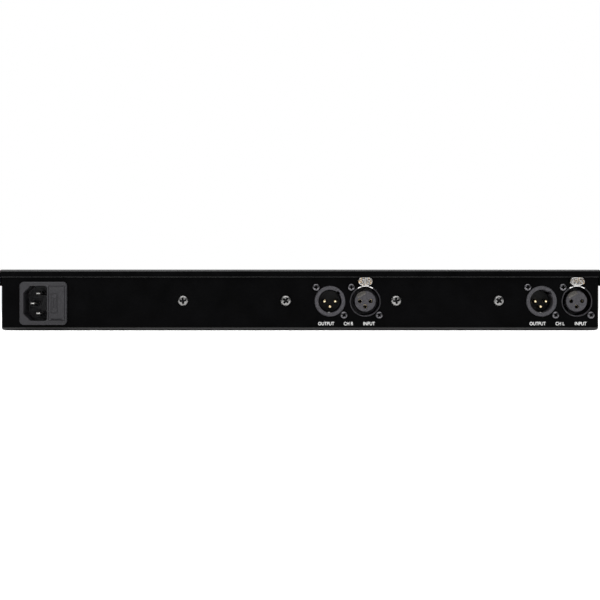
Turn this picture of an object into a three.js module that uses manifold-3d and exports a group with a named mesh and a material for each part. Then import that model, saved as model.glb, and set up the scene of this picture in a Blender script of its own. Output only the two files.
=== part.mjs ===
// A two-channel rack effects unit, one rack unit high, in millimetres.
// +Z is up, the front panel faces -Y and the connectors face +Y.
// Y = 0 of the chassis group is the plane between the front panel and the chassis.
import * as THREE from "three";
import { mergeVertices } from "three/addons/utils/BufferGeometryUtils.js";
import Module from "manifold-3d";

const wasm = await Module();
wasm.setup();

// ---------- driving dimensions ----------
const PANEL = { width: 482.6, height: 43.7, thickness: 3.2, corner: 1.5 };
const EAR = { inner: 212, relief: 0.2 };
const SLOT = { width: 10.4, height: 6.8, pitchX: 465.1, pitchZ: 31.75 };
const CHASSIS = { width: 420, height: 42.5, depth: 200, sheet: 1.5, bend: 2, seam: 0.4 };
const LID = { sheet: 1.2, gap: 0.2, bend: 1.8, lipDrop: 5.4, lipWidth: 421, flangeDrop: 11.5 };
// The gap between neighbours, the gap under a flange, and how far a cutting tool reaches past a face.
const CLEARANCE = 0.3;
const SEAT_GAP = 0.05;
const PAST = 1;

const CONNECTOR_Z = 20.25;
const CONNECTOR_PITCH = 24.8;
const CHANNELS = [
  { name: "right", outputX: -21.1, bracketX: 46.1, controlsX: 20, boardX: 13 },
  { name: "left", outputX: -169.8, bracketX: -103.6, controlsX: -130, boardX: -136 },
];
const SHELL = { radius: 10.7, proud: 0.8, depth: 22, chamfer: 0.35, panelHole: 11 };
const FLANGE = { half: 12.2, thickness: 3 };
const OUTPUT_BORE = 8.15;
const INPUT_BORE = 10;
const INSERT = { radius: 7.4, recess: 0.3, shoulder: 15 };
const INSULATOR_DEPTH = 13;
const PIN = { radius: 1.2, circle: 3.8, recess: 2.8, tail: 2, tip: 0.6, shoulder: 0.2 };
const SOCKET = { radius: 1.45, depth: 13 };
const LATCH = { width: 10.3, height: 5.4, centre: 13.95, proud: 3.4, length: 11 };
const SMALL_SCREW = { head: 2.6, height: 1.6, shank: 1.3, length: 6, offset: 9.8 };
const PAN_SCREW = { head: 3.75, height: 2.6, shank: 2, length: 5.5, offset: 36.05, z: 20.6 };
const BRACKET = { width: 84, thickness: 3, bottom: 7.9, top: 33, leg: 18 };

const INLET = { x: 180.1, z: 18.75, width: 33.3, height: 30.3, proud: 3, corner: 3 };
const INLET_BODY = { width: 29.6, height: 27.4, depth: 25 };
const CAVITY = { x: 5.5, width: 16.7, height: 24.5, depth: 19, chamfer: 4.8 };
const BLADE = { width: 4, thickness: 2, recess: 2.5, tail: 6, apart: 7, earthX: 7.8, lineX: 3.8 };
const DRAWER = { x: -9.5, width: 10.9, height: 24, depth: 22, wall: 2, back: 3, face: 9 };
const GROOVE = { short: 3, height: 1.2, depth: 2 };
const FUSE = { radius: 2.6, length: 20, inset: 0.6, behind: 8, room: 0.5 };

const KNOB = { radius: 11.5, height: 15, stand: 0.6, offsets: [-42, -8], chamfer: 0.8 };
const KNOB_BORE = { room: 2, roomDepth: 4, cap: 3 };
const POINTER = { width: 1.2, depth: 0.7, start: 2 };
const SHAFT = { radius: 3, endsBelowFace: 4, behindPanel: 12 };
const BUSHING = { radius: 4.2, proud: 2.6 };
const BUTTON = { offset: 26, radius: 4.5, proud: 5, hole: 4.9, chamfer: 0.5, skirt: 1 };
const BUTTON_STEM = { radius: 2, travelRoom: 9 };
const ROCKER = { x: 180, width: 11, height: 17, tilt: 8, endRoom: 0.4, horn: 1.6, valley: 0.2 };
const ROCKER_FOOT = { shoulder: 2, depth: 6, half: 2 };
const ROCKER_FRAME = { border: 2.2, proud: 1.8, cutout: 2.6, cutoutCorner: 0.5, corner: 1 };
const ROCKER_BODY = { margin: 2, depth: 20, wellRoom: 0.8, wellDepth: 12 };
const LENS = { x: 150, radius: 2.5, proud: 2, depth: 6 };
const BOARD = { thickness: 1.6, height: 5.9, legInset: 6, legRadius: 2.5 };
const CHANNEL_BOARD = { width: 138, length: 136, y: 120 };
const CONTROL_BOARD = { x: -8, width: 92, height: 30, front: 6, back: 15, overlap: 0.2 };
const POT = { width: 17, height: 20 };
const LATCHING_SWITCH = 9;
const SUPPLY_BOARD = { x: 150, y: 142, width: 104, length: 52 };
const TOROID = { x: 150, y: 66, outer: 42, inner: 12, height: 32, base: 3, round: 6 };
const BOLT = { radius: 4, washer: 22, washerThickness: 1.7, head: 6, headHeight: 2.5, gap: 0.3 };

const REAR_MOST = CHASSIS.depth + LATCH.proud;
const FRONT_MOST = -(PANEL.thickness + KNOB.stand + KNOB.height);

// ---------- materials ----------
const material = (color, roughness, metalness) =>
  new THREE.MeshStandardMaterial({ color, roughness, metalness });
const FINISH = {
  paint: material(0x0c0c0d, 0.5, 0.2),
  panel: material(0x101012, 0.45, 0.3),
  plastic: material(0x38373c, 0.55, 0),
  blackPlastic: material(0x121214, 0.5, 0),
  aluminium: material(0xb4b6b9, 0.35, 0.9),
  steel: material(0xc4c5c6, 0.3, 0.95),
  darkNickel: material(0x55555a, 0.35, 0.9),
  gold: material(0xd8a850, 0.3, 0.95),
  board: material(0x1d5a36, 0.6, 0),
  winding: material(0xa8641e, 0.5, 0.3),
  glass: material(0xd5dde0, 0.1, 0),
  lens: material(0xc02018, 0.2, 0),
};

// ---------- geometry helpers ----------
function solid(geometry) {
  const plain = geometry.clone();
  plain.deleteAttribute("normal");
  plain.deleteAttribute("uv");
  const merged = mergeVertices(plain, 1e-4);
  return new wasm.Manifold(
    new wasm.Mesh({
      numProp: 3,
      vertProperties: merged.attributes.position.array,
      triVerts: new Uint32Array(merged.index.array),
    }),
  );
}

function geometryOf(manifold) {
  const mesh = manifold.getMesh();
  const geometry = new THREE.BufferGeometry();
  geometry.setAttribute("position", new THREE.BufferAttribute(mesh.vertProperties, 3));
  geometry.setIndex(new THREE.BufferAttribute(mesh.triVerts, 1));
  geometry.computeVertexNormals();
  return geometry;
}

const join = (...parts) => geometryOf(parts.map(solid).reduce((a, b) => a.add(b)));
const cut = (base, ...tools) =>
  geometryOf(tools.map(solid).reduce((a, b) => a.subtract(b), solid(base)));

// A box between two corners.
function block(x0, x1, y0, y1, z0, z1) {
  const box = new THREE.BoxGeometry(x1 - x0, y1 - y0, z1 - z0);
  return box.translate((x0 + x1) / 2, (y0 + y1) / 2, (z0 + z1) / 2);
}

// A box of a given width (X) and height (Z) about a centre, between two Y planes.
const bar = (x, z, width, height, y0, y1) =>
  block(x - width / 2, x + width / 2, y0, y1, z - height / 2, z + height / 2);

const rod = (x, z, radius, y0, y1, sides = 12) =>
  new THREE.CylinderGeometry(radius, radius, y1 - y0, sides).translate(x, (y0 + y1) / 2, z);

const post = (x, y, radius, z0, z1, sides = 12) =>
  new THREE.CylinderGeometry(radius, radius, z1 - z0, sides)
    .rotateX(Math.PI / 2)
    .translate(x, y, (z0 + z1) / 2);

// A profile drawn in X and Z, extruded from y0 to y1.
function alongY(shape, y0, y1, curveSegments = 2) {
  const options = { depth: y1 - y0, bevelEnabled: false, curveSegments };
  const turn = new THREE.Matrix4().makeRotationX(Math.PI / 2);
  return new THREE.ExtrudeGeometry(shape, options).applyMatrix4(turn).translate(0, y1, 0);
}

// A profile drawn in Y and Z, extruded from x0 to x1.
function alongX(shape, x0, x1, curveSegments = 2) {
  const options = { depth: x1 - x0, bevelEnabled: false, curveSegments };
  const turn = new THREE.Matrix4().makeBasis(
    new THREE.Vector3(0, 1, 0),
    new THREE.Vector3(0, 0, 1),
    new THREE.Vector3(1, 0, 0),
  );
  return new THREE.ExtrudeGeometry(shape, options).applyMatrix4(turn).translate(x0, 0, 0);
}

// A body of revolution about Y. Its profile is [radius, y] pairs, counter-clockwise.
const turned = (profile, sides = 24) =>
  new THREE.LatheGeometry(
    profile.map(([radius, y]) => new THREE.Vector2(radius, y)),
    sides,
  );

function roundedRect(width, height, radius, x = 0, z = 0, Kind = THREE.Shape) {
  const w = width / 2;
  const h = height / 2;
  const path = new Kind();
  path.moveTo(x - w + radius, z - h);
  path.lineTo(x + w - radius, z - h);
  path.absarc(x + w - radius, z - h + radius, radius, -Math.PI / 2, 0);
  path.lineTo(x + w, z + h - radius);
  path.absarc(x + w - radius, z + h - radius, radius, 0, Math.PI / 2);
  path.lineTo(x - w + radius, z + h);
  path.absarc(x - w + radius, z + h - radius, radius, Math.PI / 2, Math.PI);
  path.lineTo(x - w, z - h + radius);
  path.absarc(x - w + radius, z - h + radius, radius, Math.PI, 1.5 * Math.PI);
  return path;
}

// A round hole or outline with a chosen number of sides.
function circle(x, z, radius, sides = 16) {
  const turn = (2 * Math.PI) / sides;
  const corner = (i) =>
    new THREE.Vector2(x + radius * Math.cos(i * turn), z + radius * Math.sin(i * turn));
  return new THREE.Path(Array.from({ length: sides }, (_, i) => corner(i)));
}

function polygon(points) {
  return new THREE.Shape(points.map(([a, b]) => new THREE.Vector2(a, b)));
}

const model = new THREE.Group();
const chassis = new THREE.Group();
chassis.position.y = -(REAR_MOST + FRONT_MOST) / 2;
model.add(chassis);

function place(name, geometry, finish, parent = chassis) {
  const mesh = new THREE.Mesh(geometry, finish);
  mesh.name = name;
  parent.add(mesh);
  return mesh;
}

function groupAt(x, y, z) {
  const group = new THREE.Group();
  group.position.set(x, y, z);
  chassis.add(group);
  return group;
}

// ---------- sheet metal ----------
const HALF = CHASSIS.width / 2;
const WALL_TOP = CHASSIS.height - LID.sheet - LID.gap;
const inputX = (channel) => channel.outputX - CONNECTOR_PITCH;
const rockerOpening = [ROCKER.width + ROCKER_FRAME.cutout, ROCKER.height + ROCKER_FRAME.cutout];
const controlHoles = () =>
  CHANNELS.flatMap((channel) => [
    ...KNOB.offsets.map((offset) => [channel.controlsX + offset, BUSHING.radius + CLEARANCE]),
    [channel.controlsX + BUTTON.offset, BUTTON.hole],
  ]).concat([[LENS.x, LENS.radius + CLEARANCE]]);

// The two sides and the bottom: a U with bent lower corners, drawn in X and Z.
function trayProfile() {
  const { sheet, bend } = CHASSIS;
  const inner = bend - sheet;
  const shape = new THREE.Shape();
  shape.moveTo(-HALF, WALL_TOP);
  shape.lineTo(-HALF, bend);
  shape.absarc(-HALF + bend, bend, bend, Math.PI, 1.5 * Math.PI);
  shape.lineTo(HALF - bend, 0);
  shape.absarc(HALF - bend, bend, bend, -Math.PI / 2, 0);
  shape.lineTo(HALF, WALL_TOP);
  shape.lineTo(HALF - sheet, WALL_TOP);
  shape.lineTo(HALF - sheet, bend);
  shape.absarc(HALF - bend, bend, inner, 0, -Math.PI / 2, true);
  shape.lineTo(-HALF + bend, sheet);
  shape.absarc(-HALF + bend, bend, inner, -Math.PI / 2, -Math.PI, true);
  shape.lineTo(-HALF + sheet, WALL_TOP);
  return shape;
}

// An upright wall whose foot bends into the bottom, drawn in Y and Z, facing +Y at y = 0.
function wallProfile() {
  const { sheet, bend } = CHASSIS;
  const shape = new THREE.Shape();
  shape.moveTo(-bend, 0);
  shape.absarc(-bend, bend, bend, -Math.PI / 2, 0);
  shape.lineTo(0, WALL_TOP);
  shape.lineTo(-sheet, WALL_TOP);
  shape.lineTo(-sheet, bend);
  shape.absarc(-bend, bend, bend - sheet, 0, -Math.PI / 2, true);
  return shape;
}

function chassisTray() {
  const { depth, sheet, bend, seam } = CHASSIS;
  const rear = alongX(wallProfile(), -HALF + seam, HALF - seam).translate(0, depth, 0);
  const front = block(-HALF + seam, HALF - seam, 0, sheet, sheet / 2, WALL_TOP);
  const holes = [];
  const rearHole = (x, z, radius, sides) =>
    holes.push(rod(x, z, radius, depth - 2 * sheet, depth + sheet, sides));
  for (const channel of CHANNELS) {
    for (const x of [channel.outputX, inputX(channel)]) {
      rearHole(x, CONNECTOR_Z, SHELL.panelHole, 20);
      for (const side of [-1, 1]) {
        const reach = side * SMALL_SCREW.offset;
        rearHole(x + reach, CONNECTOR_Z + reach, SMALL_SCREW.shank + CLEARANCE, 8);
      }
    }
    for (const side of [-1, 1]) {
      const x = channel.bracketX + side * PAN_SCREW.offset;
      rearHole(x, PAN_SCREW.z, PAN_SCREW.shank + CLEARANCE, 8);
    }
    const slot = roundedRect(
      LATCH.width + 2 * CLEARANCE,
      LATCH.height + CLEARANCE,
      LATCH.height / 2,
      inputX(channel),
      CONNECTOR_Z + LATCH.centre,
    );
    holes.push(alongY(slot, depth - 2 * sheet, depth + sheet));
  }
  const inletHole = [INLET_BODY.width + 2 * CLEARANCE, INLET_BODY.height + 2 * CLEARANCE];
  holes.push(bar(INLET.x, INLET.z, ...inletHole, depth - 2 * sheet, depth + sheet));
  for (const [x, radius] of controlHoles()) {
    holes.push(rod(x, PANEL.height / 2, radius, -sheet, 2 * sheet));
  }
  holes.push(bar(ROCKER.x, PANEL.height / 2, ...rockerOpening, -sheet, 2 * sheet));
  return cut(join(alongY(trayProfile(), 0, depth - bend), rear, front), ...holes);
}

// The cover: a top sheet with a lip over the rear wall, and a flange down each side.
function topCover() {
  const { depth, height } = CHASSIS;
  const { sheet, gap, bend, lipDrop, lipWidth, flangeDrop } = LID;
  const rearFace = depth + gap + sheet;
  const lip = new THREE.Shape();
  lip.moveTo(0, height - sheet);
  lip.lineTo(rearFace - bend, height - sheet);
  lip.absarc(rearFace - bend, height - bend, bend - sheet, Math.PI / 2, 0, true);
  lip.lineTo(rearFace - sheet, height - lipDrop);
  lip.lineTo(rearFace, height - lipDrop);
  lip.lineTo(rearFace, height - bend);
  lip.absarc(rearFace - bend, height - bend, bend, 0, Math.PI / 2);
  lip.lineTo(0, height);

  const outer = HALF + gap + sheet;
  const arch = new THREE.Shape();
  arch.moveTo(-outer, height - flangeDrop);
  arch.lineTo(-outer + sheet, height - flangeDrop);
  arch.lineTo(-outer + sheet, height - bend);
  arch.absarc(-outer + bend, height - bend, bend - sheet, Math.PI, Math.PI / 2, true);
  arch.lineTo(outer - bend, height - sheet);
  arch.absarc(outer - bend, height - bend, bend - sheet, Math.PI / 2, 0, true);
  arch.lineTo(outer - sheet, height - flangeDrop);
  arch.lineTo(outer, height - flangeDrop);
  arch.lineTo(outer, height - bend);
  arch.absarc(outer - bend, height - bend, bend, 0, Math.PI / 2);
  arch.lineTo(-outer + bend, height);
  arch.absarc(-outer + bend, height - bend, bend, Math.PI / 2, Math.PI);
  return join(
    alongX(lip, -lipWidth / 2, lipWidth / 2).translate(0, CLEARANCE, 0),
    alongY(arch, CLEARANCE, depth - gap),
  );
}

function frontPanel() {
  const middle = PANEL.height / 2;
  const shape = roundedRect(PANEL.width, PANEL.height, PANEL.corner, 0, middle);
  for (const sx of [-1, 1]) {
    for (const sz of [-1, 1]) {
      const x = (sx * SLOT.pitchX) / 2;
      const z = middle + (sz * SLOT.pitchZ) / 2;
      const round = SLOT.height / 2 - 0.01;
      shape.holes.push(roundedRect(SLOT.width, SLOT.height, round, x, z, THREE.Path));
    }
  }
  for (const [x, radius] of controlHoles()) {
    shape.holes.push(circle(x, middle, radius));
  }
  const { cutoutCorner } = ROCKER_FRAME;
  shape.holes.push(roundedRect(...rockerOpening, cutoutCorner, ROCKER.x, middle, THREE.Path));
  // The back of each ear is relieved a little, so that the rail bears on the ear alone.
  const reliefs = [-1, 1].map((side) =>
    bar(
      side * PANEL.width / 2,
      middle,
      PANEL.width - 2 * EAR.inner,
      PANEL.height + 2 * PAST,
      -EAR.relief,
      PAST,
    ),
  );
  return cut(alongY(shape, -PANEL.thickness, 0), ...reliefs);
}

place("chassis_tray", chassisTray(), FINISH.paint);
place("top_cover", topCover(), FINISH.paint);
place("front_panel", frontPanel(), FINISH.panel);

// ---------- audio connectors: outer face at y = 0, opening towards +Y ----------
// The mounting flange behind the wall. The notch lets the latch tab pass above an input.
function connectorFlange(bore, notched) {
  const { half, thickness } = FLANGE;
  const notchHalf = LATCH.width / 2 + CLEARANCE;
  const notchFloor = notched ? LATCH.centre - LATCH.height / 2 - CLEARANCE : half;
  const outline = polygon([
    [-half, -half],
    [half, -half],
    [half, half],
    ...(notched ? [[notchHalf, half], [notchHalf, notchFloor]] : []),
    ...(notched ? [[-notchHalf, notchFloor], [-notchHalf, half]] : []),
    [-half, half],
  ]);
  outline.holes.push(circle(0, 0, bore + CLEARANCE));
  for (const side of [-1, 1]) {
    const reach = side * SMALL_SCREW.offset;
    const radius = SMALL_SCREW.shank + CLEARANCE;
    outline.holes.push(circle(reach, reach, radius, 8));
  }
  return alongY(outline, -CHASSIS.sheet - thickness, -CHASSIS.sheet);
}

function connectorShell(bore, notched) {
  const { radius, proud, depth, chamfer } = SHELL;
  const tube = turned([
    [bore, proud - chamfer],
    [bore, -depth],
    [radius, -depth],
    [radius, proud - chamfer],
    [radius - chamfer, proud],
    [bore + chamfer / 2, proud],
    [bore, proud - chamfer],
  ]);
  return join(tube, connectorFlange(bore, notched));
}

const CONTACTS = [
  [PIN.circle, 0],
  [-PIN.circle, 0],
  [0, -PIN.circle],
];

function outputInsulator() {
  const rim = OUTPUT_BORE - CLEARANCE;
  const disc = rod(0, 0, rim, -SHELL.depth, -INSULATOR_DEPTH, 24);
  const holes = CONTACTS.map(([x, z]) =>
    rod(x, z, PIN.radius + CLEARANCE / 2, -SHELL.depth - PAST, 0),
  );
  return cut(disc, ...holes);
}

function outputPin() {
  const { radius, recess, tail, tip, shoulder } = PIN;
  return turned(
    [
      [0, -SHELL.depth - tail],
      [radius, -SHELL.depth - tail],
      [radius, -recess - radius],
      [radius * tip, -recess - shoulder],
      [0, -recess],
    ],
    12,
  );
}

function inputInsert() {
  const { radius, recess, shoulder } = INSERT;
  const nose = rod(0, 0, radius, -shoulder, -recess, 24);
  const base = rod(0, 0, INPUT_BORE - CLEARANCE, -SHELL.depth, -shoulder, 24);
  const sockets = CONTACTS.map(([x, z]) => rod(x, z, SOCKET.radius, -SOCKET.depth, PAST));
  return cut(join(nose, base), ...sockets);
}

function latchTab() {
  const { width, height, centre, proud, length } = LATCH;
  const round = height / 2 - 0.01;
  return alongY(roundedRect(width, height, round, 0, centre), proud - length, proud);
}

// A screw with its seat at y = 0 and its domed head towards +Y.
function screw({ head, height, shank, length }) {
  return turned(
    [
      [0, -length],
      [shank, -length],
      [shank, 0],
      [head, 0],
      [head, height * 0.5],
      [head / 2, height],
      [0, height],
    ],
    10,
  );
}

for (const channel of CHANNELS) {
  const { name, outputX } = channel;
  const output = groupAt(outputX, CHASSIS.depth, CONNECTOR_Z);
  place(`${name}_output_shell`, connectorShell(OUTPUT_BORE, false), FINISH.plastic, output);
  place(`${name}_output_insulator`, outputInsulator(), FINISH.blackPlastic, output);
  CONTACTS.forEach(([x, z], index) => {
    const pin = place(`${name}_output_pin_${index + 1}`, outputPin(), FINISH.gold, output);
    pin.position.set(x, 0, z);
  });

  const input = groupAt(inputX(channel), CHASSIS.depth, CONNECTOR_Z);
  place(`${name}_input_shell`, connectorShell(INPUT_BORE, true), FINISH.darkNickel, input);
  place(`${name}_input_insert`, inputInsert(), FINISH.plastic, input);
  place(`${name}_input_latch`, latchTab(), FINISH.steel, input);

  for (const [kind, group] of [["output", output], ["input", input]]) {
    for (const [position, side] of [["upper", 1], ["lower", -1]]) {
      const mesh = place(
        `${name}_${kind}_screw_${position}`,
        screw(SMALL_SCREW),
        FINISH.darkNickel,
        group,
      );
      mesh.position.set(side * SMALL_SCREW.offset, 0, side * SMALL_SCREW.offset);
    }
  }
}

// ---------- channel modules: bracket, its two screws and the board ----------
function bracket() {
  const { width, thickness, bottom, top, leg } = BRACKET;
  const profile = polygon([
    [0, bottom],
    [0, top],
    [-thickness, top],
    [-thickness, bottom + thickness],
    [-leg, bottom + thickness],
    [-leg, bottom],
  ]);
  const holes = [-1, 1].map((side) =>
    rod(side * PAN_SCREW.offset, PAN_SCREW.z, PAN_SCREW.shank + CLEARANCE, -leg / 2, PAST),
  );
  return cut(alongX(profile, -width / 2, width / 2), ...holes);
}

// A circuit board on four posts, with its soldered components joined to it.
function boardWith(width, length, components) {
  const { thickness, height, legInset, legRadius } = BOARD;
  const legs = [-1, 1].flatMap((sx) =>
    [-1, 1].map((sy) =>
      post(
        sx * (width / 2 - legInset),
        sy * (length / 2 - legInset),
        legRadius,
        CHASSIS.sheet,
        height + thickness / 2,
        8,
      ),
    ),
  );
  const slab = block(-width / 2, width / 2, -length / 2, length / 2, height, height + thickness);
  return join(slab, ...legs, ...components);
}

// A block component that stands in a board, and a row of the same block.
const BOARD_MIDDLE = BOARD.height + BOARD.thickness / 2;
const component = (x, y, width, length, height) =>
  block(
    x - width / 2,
    x + width / 2,
    y - length / 2,
    y + length / 2,
    BOARD_MIDDLE,
    BOARD_MIDDLE + height,
  );
const rowOf = (xs, ...sizes) => xs.map((x) => component(x, ...sizes));
const capacitorsAt = (xs, y, radius, height, sides) =>
  xs.map((x) => post(x, y, radius, BOARD_MIDDLE, BOARD_MIDDLE + height, sides));

// Each row: the X places of its components, then their Y, width, length and height.
function channelBoard() {
  const transformers = rowOf([-45, -15], 32, 24, 24, 22);
  const capacitors = capacitorsAt([12, 26, 40, 54], 30, 5.5, 18, 12);
  const relays = rowOf([-50, -30], -2, 10, 20, 10);
  const chips = rowOf([0, 20, 40], -9, 7, 10, 5);
  const header = component(0, -61, 60, 6, 9);
  const components = [...transformers, ...capacitors, ...relays, ...chips, header];
  return boardWith(CHANNEL_BOARD.width, CHANNEL_BOARD.length, components);
}

for (const { name, bracketX, boardX } of CHANNELS) {
  const mount = groupAt(bracketX, CHASSIS.depth, 0);
  const plate = place(`${name}_bracket`, bracket(), FINISH.aluminium, mount);
  plate.position.y = -CHASSIS.sheet;
  for (const [label, side] of [["outer", 1], ["inner", -1]]) {
    const pan = place(`${name}_bracket_screw_${label}`, screw(PAN_SCREW), FINISH.steel, mount);
    pan.position.set(side * PAN_SCREW.offset, 0, PAN_SCREW.z);
  }
  const board = place(`${name}_channel_board`, channelBoard(), FINISH.board);
  board.position.set(boardX, CHANNEL_BOARD.y, 0);
}

// ---------- mains inlet: outer face of the wall at y = 0 ----------
const inlet = groupAt(INLET.x, CHASSIS.depth, INLET.z);

// The inlet cavity, with its two cut corners on the earth side (+X).
function cavityOutline() {
  const { x, width, height, chamfer } = CAVITY;
  const w = width / 2;
  const h = height / 2;
  return polygon([
    [x - w, -h],
    [x + w - chamfer, -h],
    [x + w, -h + chamfer],
    [x + w, h - chamfer],
    [x + w - chamfer, h],
    [x - w, h],
  ]);
}

function inletHousing() {
  const { width, height, proud, corner } = INLET;
  const flange = alongY(roundedRect(width, height, corner), SEAT_GAP, proud);
  const body = bar(0, 0, INLET_BODY.width, INLET_BODY.height, -INLET_BODY.depth, proud / 3);
  const cavity = alongY(cavityOutline(), proud - CAVITY.depth, proud + PAST);
  const room = 2 * CLEARANCE;
  const drawerHole = bar(
    DRAWER.x,
    0,
    DRAWER.width + room,
    DRAWER.height + room,
    proud - DRAWER.depth - CLEARANCE,
    proud + PAST,
  );
  const bladeHoles = BLADES.map(([, x, z]) =>
    bar(
      x,
      z,
      BLADE.width + room,
      BLADE.thickness + room,
      -INLET_BODY.depth - PAST,
      proud - CAVITY.depth + PAST,
    ),
  );
  return cut(join(flange, body), cavity, drawerHole, ...bladeHoles);
}

const BLADES = [
  ["earth", BLADE.earthX, 0],
  ["line", BLADE.lineX, BLADE.apart],
  ["neutral", BLADE.lineX, -BLADE.apart],
];

place("iec_inlet_housing", inletHousing(), FINISH.plastic, inlet);
for (const [name, x, z] of BLADES) {
  const tip = INLET.proud - BLADE.recess;
  const tail = -INLET_BODY.depth - BLADE.tail;
  const blade = bar(x, z, BLADE.width, BLADE.thickness, tail, tip);
  place(`iec_${name}_blade`, blade, FINISH.steel, inlet);
}

// The drawer's face, and a carrier behind it with a pocket for the fuse open towards -X.
function fuseDrawer() {
  const { x, width, height, depth, wall, back, face } = DRAWER;
  const body = bar(x, 0, width, height, INLET.proud - depth, INLET.proud);
  const pocket = block(
    x - width / 2 - PAST,
    x + width / 2 - wall,
    INLET.proud - depth + back,
    INLET.proud - face,
    -FUSE.length / 2 - FUSE.room,
    FUSE.length / 2 + FUSE.room,
  );
  const finger = bar(
    x,
    (GROOVE.height - height) / 2,
    width - GROOVE.short,
    GROOVE.height,
    INLET.proud - GROOVE.depth,
    INLET.proud + PAST,
  );
  return cut(body, pocket, finger);
}

place("fuse_drawer", fuseDrawer(), FINISH.plastic, inlet);
const fuseX = DRAWER.x - DRAWER.width / 2 + FUSE.radius + FUSE.inset;
const fuseY = INLET.proud - DRAWER.depth + FUSE.behind;
const fuse = post(fuseX, fuseY, FUSE.radius, -FUSE.length / 2, FUSE.length / 2);
place("mains_fuse", fuse, FINISH.glass, inlet);

// ---------- power supply ----------
function upright(profile, sides) {
  return turned(profile, sides).rotateX(Math.PI / 2).translate(TOROID.x, TOROID.y, 0);
}

function toroid() {
  const { outer, inner, base, height, round } = TOROID;
  const top = base + height;
  return upright([
    [inner, top],
    [inner, base],
    [outer - round, base],
    [outer, base + round],
    [outer, top - round],
    [outer - round, top],
    [inner, top],
  ]);
}

function transformerBolt() {
  const { radius, washer, washerThickness, head, headHeight, gap } = BOLT;
  const floor = CHASSIS.sheet;
  const under = TOROID.base + TOROID.height + gap;
  const seat = under + washerThickness;
  return upright([
    [0, floor],
    [radius, floor],
    [radius, under],
    [washer, under],
    [washer, seat],
    [head, seat],
    [head, seat + headHeight],
    [0, seat + headHeight],
  ]);
}

function supplyBoard() {
  const rectifier = component(-36, 8, 20, 8, 20);
  const regulators = rowOf([24, 40], 15, 12, 6, 22);
  const terminals = component(-26, -20, 36, 8, 12);
  const capacitors = capacitorsAt([-14, 8], 6, 9, 28, 16);
  const components = [rectifier, ...regulators, terminals, ...capacitors];
  return boardWith(SUPPLY_BOARD.width, SUPPLY_BOARD.length, components);
}

place("transformer", toroid(), FINISH.winding);
place("transformer_bolt", transformerBolt(), FINISH.steel);
const supply = groupAt(SUPPLY_BOARD.x, SUPPLY_BOARD.y, 0);
place("power_supply_board", supplyBoard(), FINISH.board, supply);

// ---------- front controls: outer face of the panel at y = 0, facing -Y ----------
const frontAt = (x) => groupAt(x, -PANEL.thickness, PANEL.height / 2);

function knob() {
  const { radius, height, stand, chamfer } = KNOB;
  const face = -stand - height;
  const room = BUSHING.radius + KNOB_BORE.room;
  const bore = SHAFT.radius + CLEARANCE;
  const body = turned(
    [
      [0, face],
      [radius - chamfer, face],
      [radius, face + chamfer],
      [radius, -stand],
      [room, -stand],
      [room, -stand - KNOB_BORE.roomDepth],
      [bore, -stand - KNOB_BORE.roomDepth],
      [bore, face + KNOB_BORE.cap],
      [0, face + KNOB_BORE.cap],
    ],
    24,
  );
  const half = POINTER.width / 2;
  const past = radius + PAST;
  return cut(body, block(-half, half, face - PAST, face + POINTER.depth, POINTER.start, past));
}

// The shaft, from inside the knob to the back of the potentiometer.
const shaftLength = KNOB.stand + KNOB.height - SHAFT.endsBelowFace;
const potBack = PANEL.thickness + SHAFT.behindPanel;
const shaft = () => rod(0, 0, SHAFT.radius, -shaftLength, potBack);

function button() {
  const { radius, proud, chamfer, skirt } = BUTTON;
  const back = PANEL.thickness + BUTTON_STEM.travelRoom;
  return turned([
    [0, -proud],
    [radius - chamfer, -proud],
    [radius, -proud + chamfer],
    [radius, skirt],
    [BUTTON_STEM.radius, skirt],
    [BUTTON_STEM.radius, back],
    [0, back],
  ]);
}

// The upright board behind the panel, with its potentiometers and its switch.
function controlBoard() {
  const front = PANEL.thickness + CONTROL_BOARD.front;
  const back = PANEL.thickness + CONTROL_BOARD.back;
  const { x: middle, width, height } = CONTROL_BOARD;
  const slab = bar(middle, 0, width, height, back - CONTROL_BOARD.overlap, back + BOARD.thickness);
  const pots = KNOB.offsets.flatMap((x) => [
    bar(x, 0, POT.width, POT.height, front, back),
    rod(x, 0, BUSHING.radius, -BUSHING.proud, front + PAST, 16),
  ]);
  const latchSwitch = bar(BUTTON.offset, 0, LATCHING_SWITCH, LATCHING_SWITCH, front, back);
  const bores = KNOB.offsets.map((x) =>
    rod(x, 0, SHAFT.radius + CLEARANCE, -BUSHING.proud - PAST, potBack + CLEARANCE, 12),
  );
  const plungerRadius = BUTTON_STEM.radius + CLEARANCE;
  const plunger = rod(BUTTON.offset, 0, plungerRadius, front - PAST, back - CLEARANCE, 12);
  return cut(join(slab, ...pots, latchSwitch), ...bores, plunger);
}

for (const { name, controlsX } of CHANNELS) {
  const panelGroup = frontAt(controlsX);
  ["drive", "level"].forEach((role, index) => {
    const x = KNOB.offsets[index];
    place(`${name}_${role}_knob`, knob(), FINISH.aluminium, panelGroup).position.x = x;
    place(`${name}_${role}_shaft`, shaft(), FINISH.steel, panelGroup).position.x = x;
  });
  const press = place(`${name}_bypass_button`, button(), FINISH.blackPlastic, panelGroup);
  press.position.x = BUTTON.offset;
  place(`${name}_control_board`, controlBoard(), FINISH.board, panelGroup);
}

const power = frontAt(ROCKER.x);

function switchFrame() {
  const { width, height } = ROCKER;
  const { border, proud, corner } = ROCKER_FRAME;
  const { margin, depth, wellRoom, wellDepth } = ROCKER_BODY;
  const outer = [width + 2 * border, height + 2 * border];
  const rim = alongY(roundedRect(...outer, corner), -proud, -SEAT_GAP);
  const body = bar(0, 0, width + margin, height + margin, -proud / 2, depth);
  const well = bar(0, 0, width + wellRoom, height + wellRoom, -proud - PAST, wellDepth);
  return cut(join(rim, body), well);
}

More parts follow.
